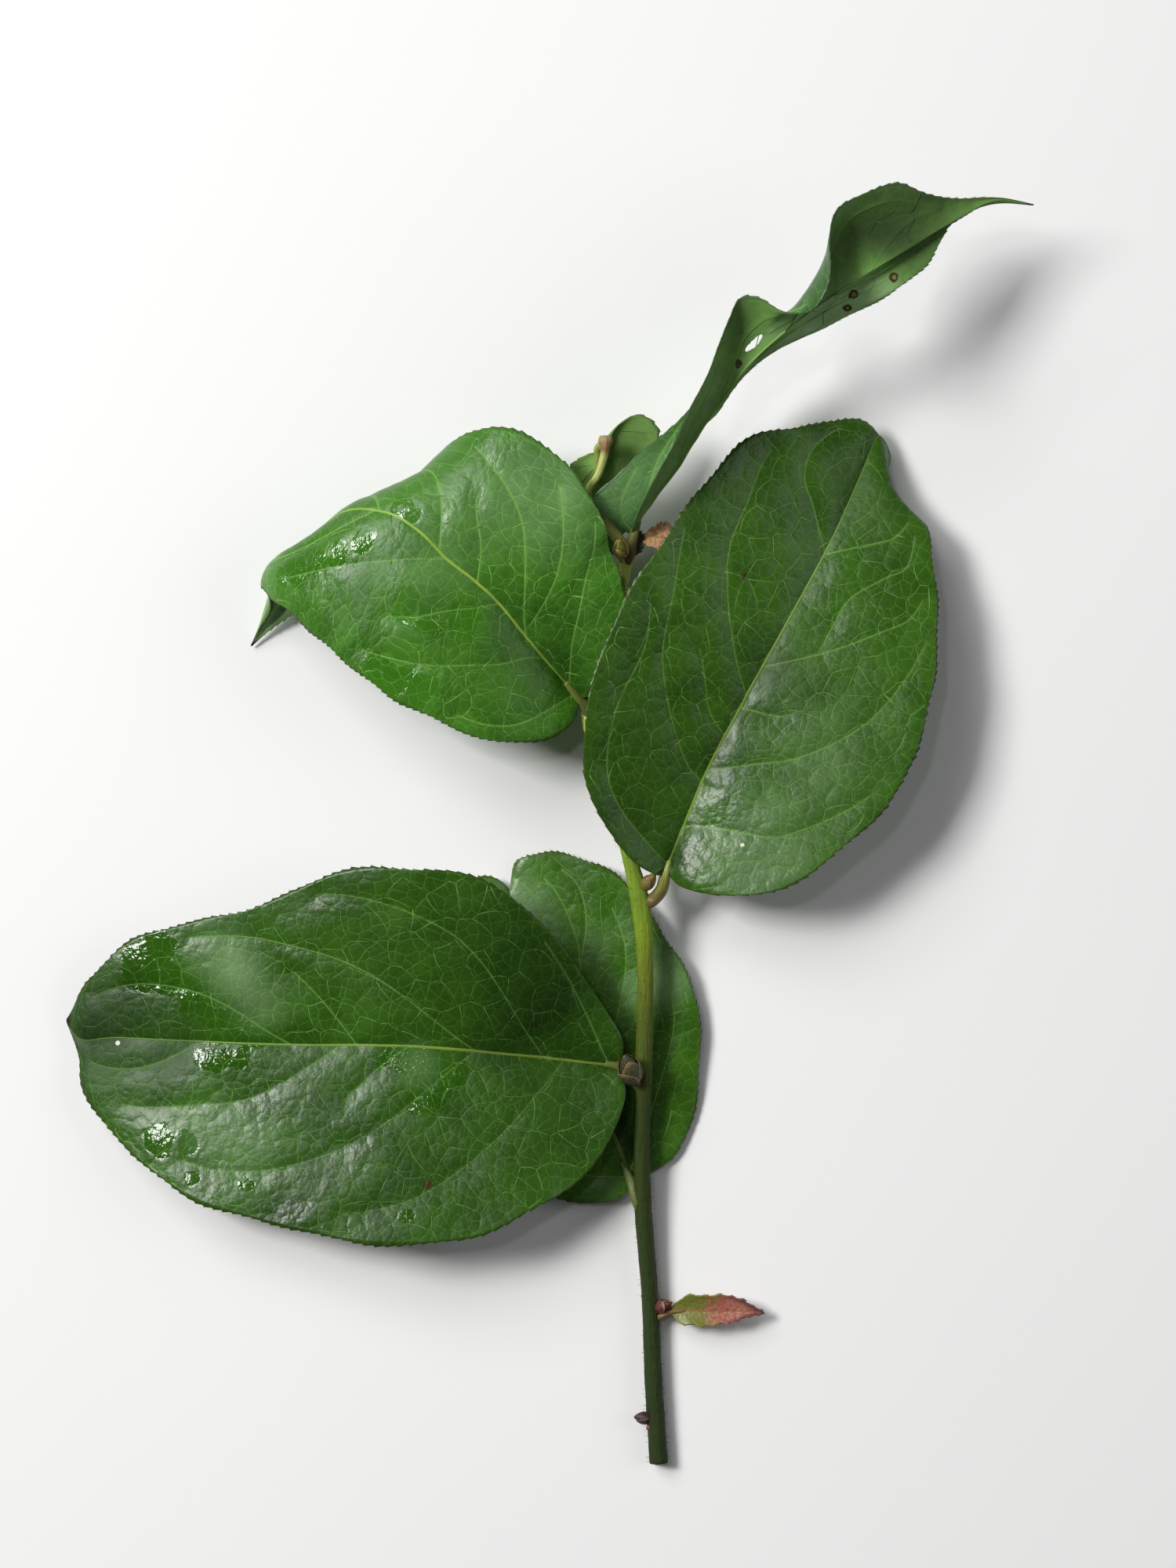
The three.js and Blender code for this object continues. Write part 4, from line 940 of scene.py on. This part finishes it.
greens = {
    "upperDeep": (0.024, 0.08, 0.004), "upperLight": (0.046, 0.135, 0.008),
    "underDeep": (0.045, 0.088, 0.02), "underLight": (0.078, 0.142, 0.035),
    "midrib": (0.22, 0.32, 0.035), "sideVein": (0.14, 0.3, 0.05), "netVein": (0.13, 0.29, 0.055),
    "margin": (0.05, 0.07, 0.012), "tip": (0.012, 0.01, 0.008), "wet": (0.024, 0.1, 0.004),
    # The sheen colour is painted sheen, mixed in where the painted shade spots ask for light.
    "paintedSheen": (0.42, 0.64, 0.33), "scarRim": (0.045, 0.026, 0.006), "scarMiddle": (0.16, 0.17, 0.06),
    "darkSpeck": (0.008, 0.014, 0.004), "paleSpeck": (0.6, 0.66, 0.5),
}
tintedKinds = {
    "upperDeep": "upper", "upperLight": "upper", "margin": "upper", "tip": "upper", "wet": "upper",
    "underDeep": "under", "underLight": "under", "midrib": "vein", "sideVein": "vein", "netVein": "vein",
}


# The same colours, each times the factor given for its kind: upper face, under face or veins.
def tinted(look, tintsAndPaintedLight):
    made = dict(look)
    for key, kind in tintedKinds.items():
        made[key] = tuple(np.minimum(1.0, np.array(look[key]) * tintsAndPaintedLight.get(kind, 1.0)).tolist())
    return made


# A shader value that can be summed: a + b, a - b, a x b and a / b each become one Math node.
class Wire:
    def __init__(self, socket):
        self.socket, self.tree = socket, socket.id_data

    def __add__(self, other):
        return maths("ADD", self, other)

    def __radd__(self, other):
        return maths("ADD", other, self)

    def __sub__(self, other):
        return maths("SUBTRACT", self, other)

    def __rsub__(self, other):
        return maths("SUBTRACT", other, self)

    def __mul__(self, other):
        return maths("MULTIPLY", self, other)

    def __rtruediv__(self, other):
        return maths("DIVIDE", other, self)


# A node with the given inputs, each either linked or set, and settings.
def addNode(tree, kind, inputs=None, **settings):
    made = tree.nodes.new(kind)
    for key, value in settings.items():
        setattr(made, key, value)
    for key, value in (inputs or {}).items():
        if isinstance(value, Wire):
            tree.links.new(value.socket, made.inputs[key])
        else:
            made.inputs[key].default_value = value
    return made


# A node in the tree of the first wire among its inputs; returns the wire of one output.
def wired(kind, inputs, output=0, **settings):
    tree = next(value.tree for value in inputs.values() if isinstance(value, Wire))
    return Wire(addNode(tree, kind, inputs, **settings).outputs[output])


def maths(operation, a, b=0.0):  # operation(a, b)
    return wired("ShaderNodeMath", {0: a, 1: b}, operation=operation)


# outLow below low, outHigh above high, and a smooth step between them.
def between(value, low, high, outLow=0.0, outHigh=1.0):
    return wired("ShaderNodeMapRange", {0: value, 1: low, 2: high, 3: outLow, 4: outHigh},
                 interpolation_type="SMOOTHSTEP")


def mixed(factor, a, b):  # a x (1 - factor) + b x factor
    a, b = ((*colour, 1) if isinstance(colour, tuple) else colour for colour in (a, b))
    return wired("ShaderNodeMix", {0: factor, 6: a, 7: b}, 2, data_type="RGBA", blend_type="MIX")


def scaled(vector, factor):  # vector x factor
    return wired("ShaderNodeVectorMath", {0: vector, "Scale": factor}, operation="SCALE")


def noise(place, scale, detail):  # smooth noise, about 0.5
    return wired("ShaderNodeTexNoise", {"Vector": place, "Scale": scale, "Detail": detail}, "Fac")


def attribute(tree, name):  # per-point values of the mesh
    return Wire(addNode(tree, "ShaderNodeAttribute", attribute_name=name).outputs["Vector"])


def apart(vector):  # its three numbers
    return [Wire(socket) for socket in addNode(vector.tree, "ShaderNodeSeparateXYZ", {0: vector}).outputs]


def objectPlace(tree):  # place on the piece in millimetres
    return scaled(Wire(addNode(tree, "ShaderNodeTexCoord").outputs["Object"]), 1000.0)


# A place whose streaks run along a stalk: (run x stretch, sin(angle) x spread, cos(angle) x spread).
def alongStalk(run, angle, stretch, spread):
    return wired("ShaderNodeCombineXYZ", {
        0: run * stretch, 1: maths("SINE", angle) * spread, 2: maths("COSINE", angle) * spread})


def startGroup(name, inputs, outputs):  # an empty node group with its sockets
    tree = bpy.data.node_groups.new(name, "ShaderNodeTree")
    for socket, kind, value in inputs:
        made = tree.interface.new_socket(socket, in_out="INPUT", socket_type=kind)
        if value is not None:
            made.default_value = value
    for socket in outputs:
        tree.interface.new_socket(socket, in_out="OUTPUT", socket_type="NodeSocketFloat")
    given = tree.nodes.new("NodeGroupInput").outputs
    wires = {socket: Wire(given[socket]) for socket, kind, value in inputs}
    return tree, wires, tree.nodes.new("NodeGroupOutput").inputs


# Fine polygons of veins: a bright line along each border, and inside it a dome of 1 - 1.6 x (distance to the
# centre)^2, in the leaf's own millimetres.
def makeCellPattern():
    tree, given, out = startGroup("cellPattern", [
        ("Place", "NodeSocketVector", None), ("Cell", "NodeSocketFloat", 2.0),
        ("Wander", "NodeSocketFloat", 0.8), ("Width", "NodeSocketFloat", 0.05)], ["Line", "Dome"])
    wander = wired("ShaderNodeTexNoise", {"Vector": given["Place"], "Scale": 0.45, "Detail": 2.0}, "Color")
    wander = wired("ShaderNodeVectorMath", {0: wander, 1: (0.5, 0.5, 0.5)}, operation="SUBTRACT")
    wander = scaled(wander, given["Wander"])
    place = wired("ShaderNodeVectorMath", {0: given["Place"], 1: wander}, operation="ADD")
    distance = wired("ShaderNodeTexVoronoi", {"Vector": place, "Scale": 1.0 / given["Cell"]}, "Distance",
                     voronoi_dimensions="2D", feature="DISTANCE_TO_EDGE")
    line = between(distance, 0.0, given["Width"], 1.0, 0.0)
    tree.links.new(line.socket, out["Line"])
    far = wired("ShaderNodeTexVoronoi", {"Vector": place, "Scale": 1.0 / given["Cell"]}, "Distance",
                voronoi_dimensions="2D")
    tree.links.new((1.0 - far * far * 1.6).socket, out["Dome"])
    return tree


# Soft blotches at a chosen size.
def makeMottle():
    tree, given, out = startGroup("mottle", [
        ("Place", "NodeSocketVector", None), ("Size", "NodeSocketFloat", 8.0)], ["Value"])
    cloud = wired("ShaderNodeTexNoise", {
        "Vector": given["Place"], "Scale": 1.0 / given["Size"], "Detail": 4.0, "Roughness": 0.55}, "Fac")
    tree.links.new(between(cloud, 0.32, 0.68).socket, out["Value"])
    return tree


cellPattern, mottle = makeCellPattern(), makeMottle()


# The line and the dome of the cell pattern at a place.
def cells(place, size, wander=0.8, width=0.05):
    made = addNode(
        place.tree, "ShaderNodeGroup", {"Place": place, "Cell": size, "Wander": wander, "Width": width},
        node_tree=cellPattern)
    return Wire(made.outputs["Line"]), Wire(made.outputs["Dome"])


def blotches(place, size):  # 0 to 1, patches about size wide
    return wired("ShaderNodeGroup", {"Place": place, "Size": size}, "Value", node_tree=mottle)


def startMaterial(name):  # a material, its node tree and its skin
    made = bpy.data.materials.new(name)
    made.use_nodes = True
    return made, made.node_tree, made.node_tree.nodes["Principled BSDF"]


# Joins colour and roughness to a skin, and bumps strength x height x reach, in metres.
def dress(made, skin, colour, rough, height=None, strength=1.0, reach=0.0001):
    tree = made.node_tree
    tree.links.new(colour.socket, skin.inputs["Base Color"])
    tree.links.new(rough.socket, skin.inputs["Roughness"])
    if height is not None:
        bump = addNode(tree, "ShaderNodeBump", {"Height": height, "Strength": strength, "Distance": reach})
        tree.links.new(bump.outputs[0], skin.inputs["Normal"])
    return made


# Colour is laid up from deep and light green blotches, fine vein lines, a yellow halo by the ribs,
# a thin margin and a dark tip; the lower face takes matte olive instead.
def bladeMaterial(name, look):
    made, tree, skin = startMaterial(name)
    flat, zones, place, marks = (attribute(tree, n) for n in ("flat", "zones", "place", "marks"))
    rib, edge, wet = apart(zones)
    along, _, upper = apart(place)
    pale, dark, brown = apart(marks)
    # The first of these is the painted light and shade.
    paintedShade, glitter, dull = apart(attribute(tree, "light"))
    (fineLine, fineDome), (finestLine, finestDome) = cells(flat, 2.2, 0.9, 0.055), cells(flat, 0.9, 0.4, 0.12)
    blotch, speck = blotches(flat, 9.0), blotches(flat, 1.6)
    ragged = wet + blotches(flat, 2.6) * 0.3
    soaked = between(ragged, 0.48, 0.68) * upper
    tone = blotch * 0.75 + speck * 0.25
    green = mixed(tone, look["upperDeep"], look["upperLight"])
    green = mixed(soaked * 0.4, green, look["wet"])
    green = mixed(fineLine * 0.3, green, look["netVein"])
    green = mixed(finestLine * 0.08, green, look["netVein"])
    green = mixed(between(rib, 0.05, 0.4, 0.22, 0.0), green, look["sideVein"])
    olive = mixed(tone, look["underDeep"], look["underLight"])
    olive = mixed(fineLine * 0.22, olive, look["underLight"])
    olive = mixed(between(rib, 0.1, 0.9, 0.35, 0.0), olive, look["underLight"])
    colour = mixed(upper, olive, green)
    # Painted shade and painted light: below 1 the colour darkens, above 1 it mixes toward the painted sheen.
    colour = scaled(colour, maths("MINIMUM", paintedShade, 1.0))
    colour = mixed(maths("MAXIMUM", paintedShade - 1.0, 0.0) * 0.5, colour, look["paintedSheen"])
    brown = brown + (speck - 0.5) * 0.3
    colour = mixed(between(edge, 0.08, 0.3, 0.6, 0.0), colour, look["margin"])
    colour = mixed(between(brown, 0.36, 0.5), colour, look["scarRim"])
    colour = mixed(between(brown, 0.75, 0.9), colour, look["scarMiddle"])
    colour = mixed(between(dark, 0.35, 0.55), colour, look["darkSpeck"])
    colour = mixed(between(pale, 0.4, 0.6), colour, look["paleSpeck"])
    colour = mixed(between(along, 0.978, 0.99), colour, look["tip"])

    rough = between(blotches(flat, 14.0), 0.0, 1.0, 0.27, 0.35) + fineLine * 0.06 + dull * 0.38
    rough = mixed(upper, (0.85, 0.85, 0.85), rough)
    rough = wired("ShaderNodeMix", {0: soaked, 2: rough, 3: 0.075 + glitter * 0.04})
    grain, dents, drops = noise(flat, 3.2, 2.0), noise(flat, 0.9, 2.0), noise(flat, 1.1, 1.0)
    height = fineDome * 0.9 + finestDome * 0.3 + grain * 0.25 + dents * 0.9
    height = height * (1.0 - soaked * 0.6) + drops * soaked * (0.35 + glitter * 3.0)
    skin.inputs["Specular IOR Level"].default_value = 0.3
    return dress(made, skin, colour, rough, height, 1.0, 0.00007)


# Veins run from the midrib's yellow to the net's green with rank and with distance along the leaf.
def veinMaterial(name, look):
    made, tree, skin = startMaterial(name)
    flat = attribute(tree, "flat")
    along, rank, upper = apart(attribute(tree, "place"))
    colour = mixed(between(rank, 0.0, 0.3), look["midrib"], look["sideVein"])
    colour = mixed(between(rank, 0.5, 1.0), colour, look["netVein"])
    colour = mixed(between(along, 0.1, 0.9, 0.0, 0.8), colour, look["netVein"])
    colour = mixed(blotches(flat, 3.0) * 0.2, colour, look["upperLight"])
    colour = mixed(upper, mixed(0.8, colour, look["underLight"]), colour)
    # Painted shade: the veins darken with the blade's painted shade spots.
    colour = scaled(colour, maths("MINIMUM", apart(attribute(tree, "light"))[0], 1.0))
    skin.inputs["Specular IOR Level"].default_value = 0.3
    return dress(made, skin, colour, between(blotches(flat, 1.2), 0.0, 1.0, 0.38, 0.55))


# Stalk skin that runs from one colour to another along its length, with darker streaks.
def stalkMaterial(name, first, last):
    made, tree, skin = startMaterial(name)
    run, angle, share = apart(attribute(tree, "place"))
    streak = blotches(alongStalk(run, angle, 0.25, 2.2), 0.8)
    colour = mixed(share, first, last)
    colour = mixed(streak * 0.45, colour, tuple(c * 0.4 for c in first))
    return dress(made, skin, colour, between(streak, 0.0, 1.0, 0.38, 0.55), streak, 0.6, 0.0001)


# Stem colours by share of the way from the cut end to the tip.
# The pale stops from 0.72 to 0.982 are partly painted light, lifted where the leaves above shade the stem.
stemColoursWithPaintedLight = [
    (0.0, (0.012, 0.032, 0.005)), (0.2, (0.019, 0.044, 0.006)), (0.34, (0.027, 0.055, 0.006)),
    (0.43, (0.09, 0.13, 0.012)), (0.475, (0.16, 0.2, 0.016)), (0.505, (0.2, 0.3, 0.018)),
    (0.54, (0.17, 0.28, 0.02)), (0.66, (0.25, 0.4, 0.04)), (0.72, (0.7, 0.84, 0.16)),
    (0.8, (0.8, 0.92, 0.18)), (0.86, (0.8, 0.9, 0.2)), (0.88, (0.36, 0.34, 0.1)), (0.94, (0.5, 0.6, 0.16)),
    (0.982, (0.62, 0.66, 0.22)), (0.988, (0.32, 0.15, 0.07)), (0.995, (0.42, 0.3, 0.16)),
    (1.0, (0.34, 0.3, 0.14)),
]


# The stem's skin: its colours by share, with dark lengthwise streaks and faint brown clouds.
def stemMaterial():
    made, tree, skin = startMaterial("stem_skin")
    run, angle, share = apart(attribute(tree, "place"))
    ramp = addNode(tree, "ShaderNodeValToRGB", {0: share})
    stops = ramp.color_ramp.elements
    while len(stops) < len(stemColoursWithPaintedLight):
        stops.new(0.5)
    for stop, (position, colour) in zip(stops, stemColoursWithPaintedLight):
        stop.position, stop.color = position, (*colour, 1)
    place = alongStalk(run, angle, 0.16, 1.9)
    streak, cloud = blotches(place, 0.55), blotches(place, 2.5)
    colour = mixed(streak * 0.18, Wire(ramp.outputs[0]), (0.02, 0.026, 0.008))
    colour = mixed(cloud * 0.07, colour, (0.17, 0.07, 0.025))
    skin.inputs["Specular IOR Level"].default_value = 0.2
    return dress(made, skin, colour, between(streak, 0.0, 1.0, 0.55, 0.7), streak, 0.8, 0.00012)


# Two colours in soft spots, rougher where they are light.
def spottedMaterial(name, deep, light, size, rough):
    made, tree, skin = startMaterial(name)
    tone = blotches(objectPlace(tree), size)
    return dress(made, skin, mixed(tone, deep, light), between(tone, 0.0, 1.0, rough, rough + 0.15))


# Bud scales: deep inside, paler toward their rims, with fine lengthwise grain.
def budMaterial(name, deep, rim):
    made, tree, skin = startMaterial(name)
    _, edge, _ = apart(attribute(tree, "place"))
    tone = blotches(objectPlace(tree), 0.5)
    colour = mixed(tone * 0.5, deep, tuple(c * 2.2 for c in deep))
    colour = mixed(between(edge + tone * 0.1, 0.78, 1.0), colour, rim)
    return dress(made, skin, colour, between(tone, 0.0, 1.0, 0.4, 0.65), tone, 0.7, 0.0001)


# The young leaf: green near its foot, pink and red beyond, purple along one margin and dark at the tip.
youngColours = {
    "foot": (0.17, 0.19, 0.03), "middle": (0.36, 0.13, 0.085), "outer": (0.42, 0.2, 0.14),
    "streak": (0.3, 0.035, 0.035), "dusk": (0.1, 0.03, 0.045), "tip": (0.04, 0.015, 0.015),
}


# Colours follow the share along the leaf, shifted by blotches;
# streaks gather by the ribs and dusk by the margin.
def youngMaterial():
    look = youngColours
    made, tree, skin = startMaterial("young_leaf_skin")
    flat, zones, place = (attribute(tree, n) for n in ("flat", "zones", "place"))
    rib, edge, _ = apart(zones)
    along, _, _ = apart(place)
    tone = blotches(flat, 1.1)
    shifted = along + (tone - 0.5) * 0.16
    colour = mixed(between(shifted, 0.28, 0.5), look["foot"], look["middle"])
    colour = mixed(between(shifted, 0.5, 0.85), colour, look["outer"])
    streak = between(blotches(flat, 0.5), 0.45, 0.9)
    near = between(rib, 0.0, 1.4, 0.75, 0.1)
    colour = mixed(streak * near * between(along, 0.25, 0.4), colour, look["streak"])
    colour = mixed(between(edge, 0.1, 0.9, 0.8, 0.0) * between(along, 0.35, 0.7), colour, look["dusk"])
    colour = mixed(between(along, 0.93, 0.985), colour, look["tip"])
    rough = between(tone, 0.0, 1.0, 0.35, 0.5)
    return dress(made, skin, colour, rough, cells(flat, 0.8)[1], 0.8, 0.00008)


def boxCentre(low, high):  # (low + high) / 2
    return (np.array(low, float) + np.array(high, float)) / 2


gaps = []
for name, shape in leafShapes.items():
    table = leafTable(shape)
    u, y = np.meshgrid(np.linspace(0.01, 0.99, 80), np.linspace(-1, 1, 41), indexing="ij")
    places = bladePoint(table, u, y).reshape(-1, 3)
    gaps.append(boxCentre(*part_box(name)) * 1000 - boxCentre(places.min(0), places.max(0)))
shift = np.median(gaps, axis=0)
print("layout moved onto the frame by", np.round(shift, 3), "mm; spread", np.round(np.ptp(gaps, axis=0), 2))
tableEase = 0.3  # millimetres


# One object from parts, moved onto the frame;
# points low down are eased onto the table: ease x exp(z / ease - 1).
def makePiece(name, parts, materials, cadNode):
    points = np.concatenate([p["points"] for p in parts]) + shift
    low = points[:, 2] < tableEase
    points[low, 2] = tableEase * np.exp(points[low, 2] / tableEase - 1)
    faces, numbers, base = [], [], 0
    for p in parts:
        for group in p["faces"]:
            faces.extend((group + base).tolist())
            numbers.append(np.full(len(group), p["material"], np.int32))
        base += len(p["points"])
    mesh = bpy.data.meshes.new(name)
    mesh.from_pydata((points / 1000).tolist(), [], faces)
    mesh.polygons.foreach_set("material_index", np.concatenate(numbers))
    mesh.polygons.foreach_set("use_smooth", np.ones(len(faces), bool))
    for value in sorted({key for p in parts for key in p["values"]}):
        column = np.concatenate([
            np.asarray(p["values"].get(value, np.zeros((len(p["points"]), 3))), np.float32) for p in parts])
        mesh.attributes.new(value, "FLOAT_VECTOR", "POINT").data.foreach_set("vector", column.ravel())
    for made in materials:
        mesh.materials.append(made)
    mesh.validate()
    mesh.update()
    piece = bpy.data.objects.new(name, mesh)
    bpy.context.scene.collection.objects.link(piece)
    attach(piece, "root")
    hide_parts(cadNode)
    print("made", name, "with", sum(len(f) - 2 for f in faces), "triangles")
    return piece


bristleSkin = spottedMaterial("bristle_skin", (0.05, 0.03, 0.015), (0.12, 0.08, 0.03), 2.0, 0.5)

pieceNames = {
    "leaf_lower_back": "lower_back_leaf", "leaf_lower_left": "lower_left_leaf", "leaf_right": "right_leaf",
    "leaf_upper_left": "upper_left_leaf", "leaf_top": "twisted_top_leaf",
    "leaf_terminal": "drooping_last_leaf",
}
tintsAndPaintedLight = {  # younger leaves toward the tip are paler; the factors also paint light and shade over whole faces
    "leaf_lower_back": {"upper": 1.1}, "leaf_lower_left": {"upper": (0.76, 0.81, 0.78)},
    "leaf_right": {"upper": 0.9},
    "leaf_upper_left": {"upper": (1.2, 1.38, 1.6), "under": 2.0, "vein": 1.35},
    "leaf_top": {"upper": (1.1, 1.15, 3.5), "under": (1.7, 1.9, 1.7), "vein": 1.4},
    "leaf_terminal": {"upper": 2.0, "under": 2.4, "vein": 1.5},
}
for number, (node, shape) in enumerate(leafShapes.items()):
    look = dict(bladeLook)
    if node == "leaf_terminal":
        look.update(rows=161, halfColumns=36, swell=0.6, ribScale=0.7)
    if node == "leaf_top":
        look.update(swell=0.6, ribScale=0.85)
    parts = leafParts(shape, look, np.random.default_rng(20 + number))
    colours = tinted(greens, tintsAndPaintedLight[node])
    name = pieceNames[node]
    blade, veins = bladeMaterial(name + "_skin", colours), veinMaterial(name + "_veins", colours)
    stalk = stalkMaterial(name + "_petiole", *shape["petioleColours"])
    makePiece(name, parts, [blade, veins, stalk, bristleSkin], node)

makePiece("stem", stemParts(stem, np.random.default_rng(11)), [
    stemMaterial(), spottedMaterial("stem_hair", (0.03, 0.025, 0.012), (0.09, 0.07, 0.04), 1.0, 0.6),
    spottedMaterial("pith", (0.35, 0.36, 0.2), (0.5, 0.5, 0.32), 0.4, 0.7),
    spottedMaterial("leaf_scar", (0.09, 0.045, 0.02), (0.2, 0.11, 0.05), 0.4, 0.7),
], "main_stem")

makePiece("reddish_young_leaf", leafParts(youngLeaf, youngLook, np.random.default_rng(40)), [
    youngMaterial(), spottedMaterial("young_vein", (0.25, 0.06, 0.04), (0.3, 0.14, 0.06), 1.0, 0.45),
    stalkMaterial("young_petiole", *youngLeaf["petioleColours"]),
    spottedMaterial("young_bristle", (0.3, 0.14, 0.1), (0.5, 0.3, 0.22), 1.0, 0.5),
], "young_leaf")

for number, (node, look) in enumerate(buds.items()):
    parts = budParts(look, np.random.default_rng(60 + number))
    skin = budMaterial(node + "_skin", look["deep"], look["rim"])
    makePiece(node.replace("bud_", "") + "_bud", parts, [skin], node)

dryColours = {
    "withered_scale": ((0.025, 0.026, 0.014), (0.09, 0.085, 0.04)),
    "dry_bract": ((0.26, 0.12, 0.045), (0.52, 0.31, 0.15)),
}
for number, (node, shape) in enumerate(dryScales.items()):
    parts = leafParts(shape, dryLook, np.random.default_rng(80 + number))
    papery = spottedMaterial(node + "_skin", *dryColours[node], 0.7, 0.7)
    makePiece(node + "_paper", parts, [papery, papery], node)

print("all pieces made; now the table, camera and lamps")
table = {"half": 3.0, "drop": 0.0004, "corners": ((-1, -1), (1, -1), (1, 1), (-1, 1))}  # metres
floorMesh = bpy.data.meshes.new("table_top")
floorMesh.from_pydata([(x * table["half"], y * table["half"], -table["drop"]) for x, y in table["corners"]],
                      [], [(0, 1, 2, 3)])
floor = bpy.data.objects.new("table_top", floorMesh)
bpy.context.scene.collection.objects.link(floor)
floorSkin = spottedMaterial("table_paint", (0.86, 0.86, 0.86), (0.88, 0.88, 0.88), 400.0, 0.7)
floorMesh.materials.append(floorSkin)

# Straight above: the focal length shows "tall" metres of the plane at planeHeight.
view = {"height": 0.7, "aside": (0.0083, 0.0094), "tall": 0.28, "planeHeight": 0.025}
cameraData = bpy.data.cameras.new("overhead_camera")
cameraData.sensor_fit = "VERTICAL"
cameraData.sensor_height = 24
cameraData.lens = 24 * (view["height"] - view["planeHeight"]) / view["tall"]
cameraData.clip_start = 0.01
camera = bpy.data.objects.new("overhead_camera", cameraData)
middle = boxCentre(*cadBox)
camera.location = (middle[0] + view["aside"][0], middle[1] + view["aside"][1], view["height"])
bpy.context.scene.collection.objects.link(camera)
bpy.context.scene.camera = camera

lamps = {  # each lies "far" metres away in a direction; power is glow x pi x area
    "key_softbox": {
        "toward": (-0.6, 0.25, 0.76), "far": 1.5, "size": 0.4, "glow": 36.0, "tint": (1.0, 0.995, 0.98),
    },
    "top_softbox": {
        "toward": (-0.46, 0.55, 0.69), "far": 1.4, "size": 0.65, "glow": 5.5, "tint": (1.0, 1.0, 1.0),
    },
    "fill_softbox": {
        "toward": (0.8, 0.1, 0.55), "far": 1.5, "size": 0.9, "glow": 1.5, "tint": (1.0, 1.0, 1.0),
    },
    "small_lamp": {
        "toward": (-0.16, 0.18, 0.97), "far": 1.5, "size": 0.07, "glow": 60.0, "tint": (1.0, 1.0, 1.0),
    },
}
for name, lamp in lamps.items():
    data = bpy.data.lights.new(name, "AREA")
    data.shape, data.size, data.color = "SQUARE", lamp["size"], lamp["tint"]
    data.energy = lamp["glow"] * np.pi * lamp["size"] ** 2
    made = bpy.data.objects.new(name, data)
    toward = Vector(lamp["toward"]).normalized()
    made.location = toward * lamp["far"]
    made.rotation_euler = toward.to_track_quat("Z", "Y").to_euler()
    bpy.context.scene.collection.objects.link(made)

world = bpy.data.worlds.new("studio_air")
bpy.context.scene.world = world
world.use_nodes = True
air = world.node_tree.nodes["Background"].inputs
air["Color"].default_value, air["Strength"].default_value = (0.93, 0.97, 1.0, 1), 0.05
bpy.context.scene.view_settings.view_transform = "Standard"
